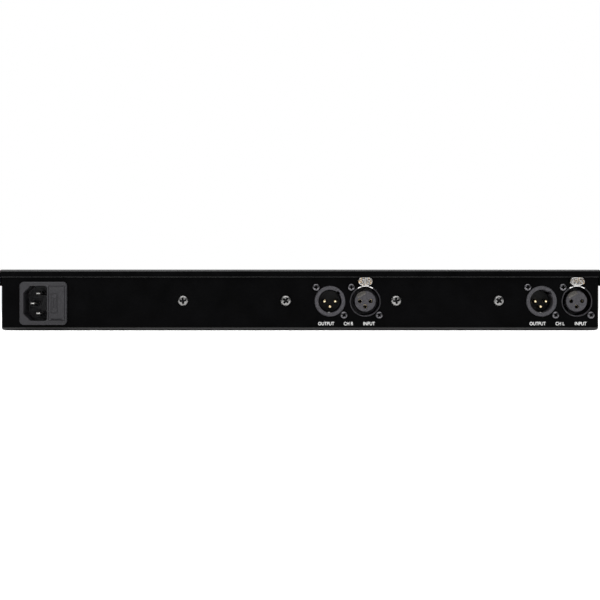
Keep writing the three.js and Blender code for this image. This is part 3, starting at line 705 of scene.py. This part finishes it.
def cover_screws():
    """Six flush screws that hold the cover's top sheet, each turned as it was left."""
    screws = bmesh.new()
    face = COVER_HIGH.z - 0.01
    for x, y in cover_screw_places():
        cone = [(0, face - 1.09), (1.9, face - 1.09), (3.0, face - 0.05), (2.8, face), (0, face)]
        head = lathe(cone, x, y, 40, axis="Z")
        cross = cross_tool(0, 0, 0, 2.9, 0.9, 1.0, 20 + 0.9 * y)
        cross.transform(Matrix.Translation((x, y, face)) @ Matrix.Rotation(math.pi / 2, 4, "X"))
        add_mesh(screws, combine(head, cross))
    piece("cover_screws", screws, DARK_NICKEL)


def add_mesh(bm, other):
    """Adds other to bm."""
    mesh = bpy.data.meshes.new("added")
    other.to_mesh(mesh)
    other.free()
    bm.from_mesh(mesh)


def cross_tool(x, z, face, span, arm, depth, degrees=0):
    """The tapered solid that cuts a cross recess into a screw head facing +Y."""
    bm = bmesh.new()
    h, a = span / 2, arm / 2
    cross = [(h, -a), (h, a), (a, a), (a, h), (-a, h), (-a, a),
             (-h, a), (-h, -a), (-a, -a), (-a, -h), (a, -h), (a, -a)]
    rings = []
    for scale, along in ((0.5, face - depth), (1.0, face + 0.1 * depth), (1.0, face + depth)):
        rings.append([bm.verts.new((x + u * scale, along, z + v * scale)) for u, v in cross])
    bridge(bm, rings)
    bm.faces.new(rings[0])
    bm.faces.new(rings[-1])
    return turned_about_y(bm, x, z, degrees)


def screw_head(x, z, seat, radius, height, span, arm, depth, degrees=0):
    """A domed pan head with a cross recess, facing +Y."""
    profile = [(0, seat - 2), (radius * 0.5, seat - 2), (radius * 0.5, seat),
               (radius, seat), (radius, seat + height * 0.35)]
    for i in range(1, 9):
        a = math.pi / 2 * i / 8
        rise = seat + height * (0.35 + 0.65 * math.sin(a))
        profile.append((max(0.0, radius * (0.45 + 0.55 * math.cos(a))), rise))
    profile.append((0, seat + height))
    head = lathe(profile, x, z, 48)
    return combine(head, cross_tool(x, z, seat + height, span, arm, depth, degrees))


# Radius and height of a head, then the span, arm width and depth of its cross.
SMALL_SCREW = (2.5, 1.6, 3.3, 1.25, 1.9)
PAN_SCREW = (3.7, 2.5, 4.9, 1.5, 2.4)


def rear_screw(node, sizes, degrees, material):
    """A screw of the rear wall, with darker metal on the walls and the floor of its cross as painted
    shade.
    """
    place = middle(node)
    bm = screw_head(place.x, place.z, REAR, *sizes, degrees)
    obj = piece(node + "_head", bm, material, nodes=[node])
    obj.data.materials.append(RECESS_SHADE_STEEL)
    height, span, depth = sizes[1], sizes[2], sizes[4]
    front = REAR + height
    # Faces inside the cross take the darker metal: painted shade in the recess.
    for polygon in obj.data.polygons:
        at = polygon.center / MM
        inside = math.hypot(at.x - place.x, at.z - place.z) < span / 2 and at.y > front - 1.1 * depth
        if inside and (at.y < front - 0.4 * depth or abs(polygon.normal.y) < 0.8):
            polygon.material_index = 1


def rear_screws():
    for side in SIDES:
        for kind in KINDS:
            for degrees, spot in ((4, "upper"), (-38, "lower")):
                rear_screw(f"{side}_{kind}_screw_{spot}", SMALL_SCREW, degrees, DARK_NICKEL)
        for degrees, spot in ((8, "outer"), (52, "inner")):
            rear_screw(f"{side}_bracket_screw_{spot}", PAN_SCREW, degrees, PAN_STEEL)


# ---------- audio connectors ----------
PIN_CIRCLE = 3.8
CONTACTS = ((PIN_CIRCLE, 0), (-PIN_CIRCLE, 0), (0, -PIN_CIRCLE))
BODY_BACK = REAR - 22
PIN_RADIUS, PIN_TIP = 1.2, REAR - 2.8
FLANGE_HALF, FLANGE_THICK, FLANGE_SCREWS = 12.2, 3, 9.8
KEY_ANGLE = 135


def keyed_circle(place, radius, step, angle, width=18):
    """A circle with one notch that reaches out (or in) by step at an angle."""
    rest = arc(place.x, place.z, radius, angle + width / 2, angle + 360 - width / 2, 80)
    notch = arc(place.x, place.z, radius + step, angle - width / 2, angle + width / 2, 6)
    return rest + notch


def flange(bm, place, bore, notch_floor=None):
    """The square plate behind the wall, with a notch for the latch of an input."""
    half, gap = FLANGE_HALF, 5.45
    notch = [(gap, half), (gap, None), (-gap, None), (-gap, half)] if notch_floor else []
    corners = [(-half, -half), (half, -half), (half, half), *notch, (-half, half)]
    outline = [(place.x + u, notch_floor if v is None else place.z + v) for u, v in corners]
    holes = [circle(place.x, place.z, bore, 48)]
    for reach in (-FLANGE_SCREWS, FLANGE_SCREWS):
        holes.append(circle(place.x + reach, place.z + reach, 1.6, 24))
    plate(outline, holes, REAR - SHEET - FLANGE_THICK, REAR - SHEET, 0.2, bm=bm)


def output_connector(side):
    place = CONNECTORS[f"{side}_output"]
    bore = keyed_circle(place, 8.1, 0.95, KEY_ANGLE)
    shell = plate(circle(place.x, place.z, 10.7, 96), [bore], BODY_BACK, REAR + 0.8, 0.45, steps=4)
    flange(shell, place, 9.3)
    piece(f"{side}_output_moulding", shell, RING_PLASTIC, nodes=[f"{side}_output_shell"])

    floor_y = REAR - 13
    disc = lathe([(0, BODY_BACK), (7.8, BODY_BACK), (7.8, floor_y - 0.3),
                  (7.5, floor_y), (0, floor_y)], place.x, place.z, 64)
    holes = bmesh.new()
    for u, v in CONTACTS:
        bar((place.x + u, place.z + v), 1.3, REAR - 30, REAR, bm=holes)
    piece(f"{side}_output_base", combine(disc, holes), BLACK_PLASTIC,
          nodes=[f"{side}_output_insulator"])

    back, shoulder = BODY_BACK - 2, PIN_TIP - 1.1
    profile = soft([(0, back), (PIN_RADIUS, back), (PIN_RADIUS, shoulder),
                    (PIN_RADIUS * 0.72, PIN_TIP - 0.15), (0, PIN_TIP)], 0.5, 5)
    for number, (u, v) in enumerate(CONTACTS, 1):
        piece(f"{side}_output_contact_{number}", lathe(profile, place.x + u, place.z + v, 32), GOLD,
              nodes=[f"{side}_output_pin_{number}"])

    spring = box_bm((place.x - 0.1, REAR - 10, place.z - 8.5),
                    (place.x + 1.5, REAR + 0.1, place.z - 7.55), 0.3)
    piece(f"{side}_output_earth_spring", spring, BRIGHT_STEEL)


# The flat across an input's insert, whose paler colour is painted light: its direction, its slope and
# where it starts.
FACET_ANGLE, FACET_SLOPE, FACET_START = 60, 34, 4.2


def facet_tool(place, front):
    """A block that takes a sloping facet off the rim of a face."""
    bm = box_bm((-3.4, 0, 0), (3.4, 8, 6), 0.01)
    bm.transform(Matrix.Rotation(math.radians(FACET_SLOPE), 4, "X"))
    bm.transform(Matrix.Translation((0, front, FACET_START)))
    bm.transform(Matrix.Rotation(math.radians(90 - FACET_ANGLE), 4, "Y"))
    bm.transform(Matrix.Translation((place.x, 0, place.z)))
    return bm


def worn_facet(obj):
    """The insert's flat in a paler plastic, standing for the light from above that falls on it: painted
    light.
    """
    turn, slope = math.radians(FACET_ANGLE), math.radians(FACET_SLOPE)
    facing = Vector((math.sin(slope) * math.cos(turn), math.cos(slope), math.sin(slope) * math.sin(turn)))
    obj.data.materials.append(FACET_LIGHT_PLASTIC)
    for polygon in obj.data.polygons:
        if polygon.normal.dot(facing) > 0.99:
            polygon.material_index = 1


def input_connector(side):
    place = CONNECTORS[f"{side}_input"]
    shell = plate(circle(place.x, place.z, 10.8, 96), [circle(place.x, place.z, 10.05, 96)],
                  BODY_BACK, REAR + 0.6, 0.3, steps=4)
    latch_low = box(f"{side}_input_latch")[0]
    flange(shell, place, 10.3, latch_low.z - 0.35)
    piece(f"{side}_input_ring", shell, RING_NICKEL, nodes=[f"{side}_input_shell"])

    front, root = REAR - 0.3, REAR - 15
    nose = plate(circle(place.x, place.z, 7.4, 96), [], root, front, 0.45, steps=4)
    nose = combine(nose, facet_tool(place, front))
    base = plate(circle(place.x, place.z, 9.7, 64), [], BODY_BACK, root + 0.2, 0.3)
    sockets = bmesh.new()
    for u, v in CONTACTS:
        bar((place.x + u, place.z + v), 1.42, REAR - 13, REAR + PAST, 32, bm=sockets)
    insert = combine(combine(nose, base, "UNION"), sockets)
    obj = piece(f"{side}_input_core", insert, RING_PLASTIC, nodes=[f"{side}_input_insert"])
    # The flat takes the paler plastic: painted light.
    worn_facet(obj)
    add_bevel(obj, 0.12)
    for number, (u, v) in enumerate(CONTACTS, 1):
        tube = plate(circle(place.x + u, place.z + v, 1.38, 24),
                     [circle(place.x + u, place.z + v, 1.12, 24)],
                     REAR - 12.5, REAR - 6, 0.08, steps=2)
        piece(f"{side}_input_socket_{number}", tube, GOLD)

    # The sprung bar below the latch tab, with its two short wings along the ring.
    clip = bmesh.new()
    for start, stop in ((60, 74), (106, 120)):
        rings = []
        for i in range(9):
            angle = math.radians(start + (stop - start) * i / 8)
            out = Vector((math.cos(angle), 0, math.sin(angle)))
            ring = []
            for k in range(12):
                turn = 2 * math.pi * k / 12
                along = Vector((0, math.sin(turn), 0)) + out * math.cos(turn)
                hub = Vector((place.x, REAR + 0.5, place.z)) + out * 10.5
                ring.append(clip.verts.new(hub + along * 0.36))
            rings.append(ring)
        bridge(clip, rings)
        clip.faces.new(rings[0])
        clip.faces.new(rings[-1])
    box_bm((place.x - 2.6, REAR - 0.5, place.z + 10.35),
           (place.x + 2.6, REAR + 1.3, place.z + 11.2), 0.25, bm=clip)
    # The clip's near-white colour is a painted highlight.
    piece(f"{side}_input_clip", clip, CLIP_HIGHLIGHT_METAL)

    low, high, x, z = seat(f"{side}_input_latch")
    tab = plate(latch_outline(side), [], low.y, high.y - 0.35, 0.75, steps=6)
    for row in (-1, 0, 1):
        for column in range(-3 + abs(row), 4 - abs(row)):
            grip_x, grip_z = x + column * 1.25, z + row * 1.3
            dome = [(0, high.y - 0.6), (0.46, high.y - 0.6),
                    (0.42, high.y - 0.25), (0.26, high.y - 0.05), (0, high.y)]
            lathe(dome, grip_x, grip_z, 20, bm=tab)
    piece(f"{side}_input_tab", tab, LATCH_METAL, f"{side}_latch",
          nodes=[f"{side}_input_latch"])


# ---------- mains inlet ----------
def mains_inlet():
    low, high, x, z = seat("iec_inlet_housing")
    front = high.y
    width, height = high.x - low.x, high.z - low.z
    drawer_low, drawer_high, dx, dz = seat("fuse_drawer")
    cx, w, h, cut = x + 5.5, 8.3, 12.3, 4.8
    cavity = folded([
        (cx - w, z - h, 2.2), (cx + w - cut, z - h, 0.6), (cx + w, z - h + cut, 0.6),
        (cx + w, z + h - cut, 0.6), (cx + w - cut, z + h, 0.6), (cx - w, z + h, 2.2),
    ], 5)
    gap = 0.22
    drawer_size = (drawer_high.x - drawer_low.x + 2 * gap, drawer_high.z - drawer_low.z + 2 * gap)
    window = rectangle(dx, dz, *drawer_size, 0.6, 3)
    housing = plate(rectangle(x, z, width, height, 3, 10), [cavity, window],
                    REAR + 0.05, front, 0.95, steps=6, hole_edge=0.16)
    sleeve = (width - 3.7, height - 2.9)
    floor_y = front - 19
    plate(rectangle(x, z, *sleeve), [cavity, window], floor_y, REAR + 0.1, 0, bm=housing)
    plate(rectangle(x, z, *sleeve), [window], drawer_low.y - gap, floor_y, 0, bm=housing)
    plate(rectangle(x, z, *sleeve), [], low.y, drawer_low.y - gap, 0, bm=housing)
    piece("inlet_moulding", housing, GREY_PLASTIC, nodes=["iec_inlet_housing"])

    for name in ("earth", "line", "neutral"):
        node = f"iec_{name}_blade"
        b_low, b_high, *centre = seat(node)
        tip = b_high.y
        bm = bmesh.new()
        rings = []
        for shrink, along in ((0, b_low.y), (0, tip - 2.4), (0.1, tip - 1.9),
                              (0.62, tip - 0.12), (0.7, tip)):
            size = (b_high.x - b_low.x - 2 * shrink, b_high.z - b_low.z - 1.7 * shrink)
            outline = rectangle(*centre, *size, 0.22, 3)
            rings.append([bm.verts.new((u, along, v)) for u, v in outline])
        bridge(bm, rings)
        bm.faces.new(rings[0])
        bm.faces.new(rings[-1])
        piece(f"inlet_{name}_contact", bm, BLADE_METAL, nodes=[node])
        # the moulded collar at the root of the blade
        collar = plate(rectangle(*centre, 5.6, 3.4, 0.8, 4),
                       [rectangle(*centre, 4.1, 2.1, 0.35, 3)],
                       floor_y - 0.5, floor_y + 1.2, 0.25)
        piece(f"inlet_{name}_collar", collar, GREY_PLASTIC)


FUSE_RADIUS = 2.5


def fuse_drawer():
    """The drawer with its pry groove, a raised fuse symbol, and the fuse behind its face."""
    low, high, x, z = seat("fuse_drawer")
    width, height = high.x - low.x, high.z - low.z
    front = high.y
    face = plate(rectangle(x, z, width, height, 0.4, 3), [], front - 8, front - 0.1, 0.16)
    grooves = bmesh.new()
    box_bm((x - 3.9, front - 1.2, z - height / 2 + 0.5),
           (x + 3.9, front + PAST, z - height / 2 + 1.3), 0.1, bm=grooves)
    face = combine(face, grooves)
    back = low.y
    box_bm((low.x, back, low.z), (high.x, back + 2.6, high.z), 0.2, bm=face)
    for side_z in (low.z, high.z - 1.4):
        box_bm((low.x, back + 2, side_z), (high.x, front - 7, side_z + 1.4), 0.2, bm=face)
    box_bm((high.x - 1.6, back + 2, low.z), (high.x, front - 7, high.z), 0.2, bm=face)

    mx, mz = x + 1.5, z + 0.1
    sunk = bmesh.new()
    plate(rectangle(mx, mz, 5.2, 14.6, 0.8, 4), [], front - 0.5, front + PAST, 0, bm=sunk)
    piece("drawer_moulding", combine(face, sunk), GREY_PLASTIC, "fuse_drawer", nodes=["fuse_drawer"])

    mark = bmesh.new()
    raised = (front - 0.8, front)
    link = [rectangle(mx, mz, 1.6, 6.6, 0.2, 3)]
    plate(rectangle(mx, mz, 2.8, 7.6, 0.2, 3), link, *raised, 0.16, bm=mark)
    plate(circle(mx, mz + 5.0, 1.75, 32), [], *raised, 0.2, bm=mark)
    plate(rectangle(mx, mz - 5.0, 3.4, 3.0, 0.4, 4), [], *raised, 0.2, bm=mark)
    piece("drawer_symbol", mark, GREY_PLASTIC, "fuse_drawer")

    f_low, f_high = box("mains_fuse")
    fx, fy = (f_low.x + f_high.x) / 2, (f_low.y + f_high.y) / 2
    radius = FUSE_RADIUS
    inner, outer = radius * 0.8, radius * 0.92
    glass = lathe([(inner, f_low.z + 4), (outer, f_low.z + 4), (outer, f_high.z - 4),
                   (inner, f_high.z - 4)], fx, fy, 40, closed=True, axis="Z")
    piece("fuse_glass", glass, GLASS, "fuse_drawer", nodes=["mains_fuse"])
    caps = bmesh.new()
    for start, stop in ((f_low.z, f_low.z + 5), (f_high.z - 5, f_high.z)):
        lathe(soft([(0, start), (radius, start), (radius, stop), (0, stop)], 0.4), fx, fy, 40,
              bm=caps, axis="Z")
    lathe([(0, f_low.z + 4.5), (0.15, f_low.z + 4.5),
           (0.15, f_high.z - 4.5), (0, f_high.z - 4.5)], fx, fy, 10, bm=caps, axis="Z")
    piece("fuse_caps", caps, BRIGHT_STEEL, "fuse_drawer")


# ---------- lettering and marks ----------
# The thickness of the ink.
PRINT = 0.06
REAR_FACING = Matrix(((-1, 0, 0), (0, 0, 1), (0, 1, 0)))
FRONT_FACING = Matrix(((1, 0, 0), (0, 0, -1), (0, 1, 0)))


def lettering(bm, text, place, cap, facing, squeeze=1.0):
    """Adds raised print, centred at a place: cap is the height of a capital or a digit."""
    curve = bpy.data.curves.new("print", "FONT")
    curve.body = text
    curve.extrude = 0.5
    curve.resolution_u = 4
    obj = bpy.data.objects.new("print", curve)
    bpy.context.scene.collection.objects.link(obj)
    graph = bpy.context.evaluated_depsgraph_get()
    graph.update()
    made = bmesh.new()
    made.from_mesh(obj.evaluated_get(graph).to_mesh())
    bpy.data.objects.remove(obj)
    low = Vector([min(v.co[i] for v in made.verts) for i in range(3)])
    high = Vector([max(v.co[i] for v in made.verts) for i in range(3)])
    scale = cap / (high.y - low.y)
    thick = PRINT / (high.z - low.z)
    centre = (low + high) / 2
    for vert in made.verts:
        local = Vector(((vert.co.x - centre.x) * scale * squeeze, (vert.co.y - centre.y) * scale,
                        (vert.co.z - centre.z) * thick))
        vert.co = Vector(place) + facing @ local
    add_mesh(bm, made)


def rear_labels():
    """Generic function words under the connectors, read from behind."""
    bm = bmesh.new()
    level = 4.5
    for side, channel in (("right", "CH R"), ("left", "CH L")):
        output, source = CONNECTORS[f"{side}_output"].x, CONNECTORS[f"{side}_input"].x
        for text, x in (("OUTPUT", output + 2.7), (channel, (output + source) / 2 - 0.6),
                        ("INPUT", source - 2.7)):
            lettering(bm, text, (x, REAR, level), 2.4, REAR_FACING, 0.84)
    piece("rear_labels", bm, INK)


# ---------- front panel and its controls ----------
# The rack's slots: how far they lie from the middle, their width and height, and their corners.
RACK_X, RACK_Z = 232.55, 15.875
RACK_SLOT = (10.4, 6.8, 3.3)
SWITCH_WELL = (11.8, 17.8)
SWITCH_SHELL = (13, 19)
# How the rocker rests, and how far it and its marks stand out of the panel.
TILT = math.radians(-8)
PROUD = 1.8


def front_panel():
    width, height = PANEL_HIGH.x - PANEL_LOW.x, PANEL_HIGH.z - PANEL_LOW.z
    ear_back = PANEL_HIGH.y - 0.2
    slots = [rectangle(sx * RACK_X, MID + sz * RACK_Z, *RACK_SLOT, 10) for sx in (-1, 1) for sz in (-1, 1)]
    front = plate(rectangle(0, MID, width, height, 1.5, 8), slots, FACE, ear_back, 0.45, steps=4)
    back = plate(rectangle(0, MID, 424, height - 1, 1.0, 4), [], ear_back - 0.6, PANEL_HIGH.y, 0)
    panel = combine(front, back, "UNION")
    tools = bmesh.new()
    for x, z, radius in control_holes():
        sunk = [(0, FACE - PAST), (radius + 0.35, FACE - PAST), (radius + 0.35, FACE),
                (radius, FACE + 0.35), (radius, PANEL_HIGH.y + PAST), (0, PANEL_HIGH.y + PAST)]
        lathe(sunk, x, z, 64, bm=tools)
    switch = middle("power_switch_frame")
    plate(rectangle(switch.x, switch.z, 13.6, 19.6), [], FACE - PAST, PANEL_HIGH.y + PAST, 0, bm=tools)
    for x, z in panel_screw_places():
        sunk = [(0, FACE - PAST), (3.3, FACE - PAST), (3.3, FACE + 0.1),
                (1.7, FACE + 1.8), (0, FACE + 1.8)]
        lathe(sunk, x, z, 40, bm=tools)
    piece("front_plate", combine(panel, tools), ANODISED, nodes=["front_panel"])

    screws = bmesh.new()
    for x, z in panel_screw_places():
        head = lathe([(0, FACE + 0.12), (2.85, FACE + 0.12), (3.0, FACE + 0.26),
                      (1.5, FACE + 1.75), (0, FACE + 1.75)], x, z, 40)
        add_mesh(screws, combine(head, bar((x, z), 1.2, FACE - PAST, FACE + 1.2, 6)))
    piece("panel_screws", screws, DARK_NICKEL)


def panel_screw_places():
    return [(x, MID + z) for x in (-200, -72, 72, 205) for z in (-15.5, 15.5)]


# The angle between two ticks of a scale, and the radii where ticks start and numbers stand.
TICK_STEP = 30
TICK_START, NUMBER_RADIUS = 12.5, 15.7


def dial(bm, x, z):
    """Eleven ticks and the even numbers of a scale from 0 to 10, clockwise."""
    for value in range(11):
        angle = math.radians((value - 5) * TICK_STEP)
        out = Vector((math.sin(angle), 0, math.cos(angle)))
        across = Vector((out.z, 0, -out.x))
        major = value % 5 == 0
        stop, half = (14.1, 0.22) if major else (13.6, 0.14)
        corners = []
        for reach, shift in ((TICK_START, -half), (TICK_START, half), (stop, half), (stop, -half)):
            point = Vector((x, 0, z)) + out * reach + across * shift
            corners.append((point.x, point.z))
        if (corners[1][0] - corners[0][0]) * (corners[2][1] - corners[1][1]) < (
                corners[1][1] - corners[0][1]) * (corners[2][0] - corners[1][0]):
            corners.reverse()
        plate(corners, [], FACE - PRINT / 2, FACE + PRINT / 2, 0, bm=bm)
        if value % 2 == 0:
            place = Vector((x, FACE, z)) + out * NUMBER_RADIUS
            lettering(bm, str(value), place, 1.9, FRONT_FACING, 0.9)


# A knob's radius at its flutes, the depth and number of the flutes, and the points of each.
KNOB_RADIUS, FLUTE_DEPTH, FLUTES, FLUTE_POINTS = 11.5, 0.4, 60, 6
# Half the width of the pointer's slot, and of the line that fills it.
SLOT_HALF, LINE_HALF = 0.65, 0.6
SPINDLE_RADIUS = 2.98


def knob(side, role):
    node, body = f"{side}_{role}_knob", f"{side}_{role}_control"
    low, high, x, z = seat(node)
    outline = []
    for i in range(FLUTES * FLUTE_POINTS):
        angle = 2 * math.pi * i / (FLUTES * FLUTE_POINTS)
        radius = KNOB_RADIUS - FLUTE_DEPTH / 2 * (1 - math.cos(angle * FLUTES))
        outline.append((x + radius * math.cos(angle), z + radius * math.sin(angle)))
    grip = plate(outline, [], low.y + 2.4, high.y - 0.8, 0.35)
    crown = lathe(soft([
        (0, low.y), (9.4, low.y), (10.9, low.y + 0.9), (10.9, low.y + 2.6),
        (10.9, high.y - 1), (11.4, high.y - 0.9), (11.4, high.y), (0, high.y),
    ], 0.3), x, z, 96)
    grip = combine(grip, crown, "UNION")
    bore = lathe([(0, low.y + 3), (3.3, low.y + 3), (3.3, high.y - 4),
                  (6.2, high.y - 4), (6.2, high.y + PAST), (0, high.y + PAST)], x, z, 48)
    grip = combine(grip, bore)
    left, right = x - SLOT_HALF, x + SLOT_HALF
    slot = box_bm((left, low.y - PAST, z + 3), (right, low.y + 0.55, z + 12), 0.02)
    slot_side = box_bm((left, low.y - PAST, z + 10.6), (right, high.y - 3, z + 12.5), 0.02)
    grip = combine(combine(grip, slot), slot_side)
    piece(f"{side}_{role}_grip", grip, TURNED, body, nodes=[node])
    left, right, front = x - LINE_HALF, x + LINE_HALF, low.y + 0.3
    line = box_bm((left, front, z + 3.05), (right, low.y + 0.9, z + 10.6), 0.05)
    line_side = box_bm((left, front, z + 10.3), (right, high.y - 3.05, z + 10.9), 0.05)
    piece(f"{side}_{role}_pointer", combine(line, line_side, "UNION"), POINTER_INK, body)

    shaft = f"{side}_{role}_shaft"
    start, stop = (corner.y for corner in box(shaft))
    ends = [(0, start), (SPINDLE_RADIUS, start), (SPINDLE_RADIUS, stop), (0, stop)]
    spindle = lathe(soft(ends, 0.5), x, z, 40)
    flat = box_bm((x - 4, start - PAST, z + 2.2), (x + 4, start + 8, z + 5), 0)
    piece(f"{side}_{role}_spindle", combine(spindle, flat), BRIGHT_STEEL, body, nodes=[shaft])


def bypass_button(side):
    node = f"{side}_bypass_button"
    low, high, x, z = seat(node)
    profile = [(0, low.y + 0.45)]
    for i in range(1, 7):
        reach = i / 6
        profile.append((3.3 * reach, low.y + 0.45 * (1 - reach ** 2)))
    profile += [(3.75, low.y), (4.25, low.y + 0.2), (4.48, low.y + 0.75),
                (4.48, FACE + 1), (4.3, FACE + 1.0), (1.98, FACE + 1.0),
                (1.98, high.y), (0, high.y)]
    cap = lathe(profile, x, z, 80)
    piece(f"{side}_bypass_cap", cap, BLACK_PLASTIC, f"{side}_bypass", nodes=[node])


def power_switch():
    low, high, x, z = seat("power_switch_frame")
    well, walls = rectangle(x, z, *SWITCH_WELL, 0.3, 3), rectangle(x, z, *SWITCH_SHELL, 0.4, 3)
    rim = plate(rectangle(x, z, high.x - low.x, high.z - low.z, 1.2, 6), [well],
                low.y, FACE - 0.05, 0.5, steps=4)
    shell = plate(walls, [well], FACE - 1, FACE + 12, 0.1)
    back = plate(walls, [], FACE + 11.9, high.y, 0.3)
    shell = combine(combine(rim, shell, "UNION"), back, "UNION")
    tabs = bmesh.new()
    for dz in (-6, 0, 6):
        box_bm((x - 2.4, high.y - 1, z + dz - 0.4), (x + 2.4, high.y - 0.02, z + dz + 0.4), 0.1, bm=tabs)
    piece("switch_tabs", tabs, BLADE_METAL)
    piece("switch_frame", shell, BLACK_PLASTIC, nodes=["power_switch_frame"])

    h = 8.1
    outline = folded([
        (-PROUD - 1.6, h, 0.5), (-PROUD + 0.2, 0, 5),
        (-PROUD - 1.6, -h, 0.5), (2, -h, 0.4), (6, -2, 0.4),
        (6, 2, 0.4), (2, h, 0.4),
    ], 6)
    key = plate(outline, [], -5.5, 5.5, 0.35, "X", steps=4)
    swing = Matrix.Translation((x, FACE, z)) @ Matrix.Rotation(TILT, 4, "X")
    key.transform(swing)
    piece("power_key", key, BLACK_PLASTIC, "power_rocker", nodes=["power_rocker"])

    marks = bmesh.new()
    slope = math.atan2(PROUD, h)
    for sign in (1, -1):
        v = sign * 4.6
        front = -PROUD + 0.2 - PROUD * abs(v) / h
        place = Vector((0, front - 0.01, v))
        turn = Matrix.Rotation(sign * slope, 4, "X")
        mark = bmesh.new()
        if sign > 0:
            plate(rectangle(0, 0, 0.6, 3.2, 0.1, 2), [], -PRINT / 2, PRINT / 2, 0, bm=mark)
        else:
            plate(circle(0, 0, 1.6, 40), [circle(0, 0, 1.05, 40)], -PRINT / 2, PRINT / 2, 0,
                  bm=mark)
        mark.transform(swing @ Matrix.Translation(place) @ turn)
        add_mesh(marks, mark)
    piece("power_marks", marks, INK, "power_rocker")

    low, high, x, z = seat("power_lens")
    profile = [(0, low.y)]
    for i in range(1, 11):
        angle = math.pi / 2 * i / 10
        profile.append((2.45 * math.sin(angle), low.y + 1.9 * (1 - math.cos(angle))))
    profile += [(2.45, high.y), (0, high.y)]
    piece("power_light", lathe(profile, x, z, 64), LENS_RED, nodes=["power_lens"])


def front_print():
    bm = bmesh.new()
    for side in SIDES:
        for role in ("drive", "level"):
            place = middle(f"{side}_{role}_knob")
            dial(bm, place.x, place.z)
    piece("front_scales", bm, INK)


# ---------- inside ----------
def carried(node, material):
    """A CAD node that is shown itself, with rounded edges and a finish."""
    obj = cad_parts[node]
    obj.data.materials.clear()
    obj.data.materials.append(material)
    add_bevel(obj, 0.3)


for side in SIDES:
    output_connector(side)
    input_connector(side)
    for role in ("drive", "level"):
        knob(side, role)
    bypass_button(side)
    carried(f"{side}_bracket", ALUMINIUM)
    carried(f"{side}_channel_board", FLAT_BOARD)
    carried(f"{side}_control_board", UPRIGHT_BOARD)
carried("transformer", WINDING)
carried("transformer_bolt", BRIGHT_STEEL)
carried("power_supply_board", FLAT_BOARD)
chassis_tray()
top_cover()
cover_screws()
rear_screws()
mains_inlet()
fuse_drawer()
rear_labels()
front_panel()
front_print()
power_switch()
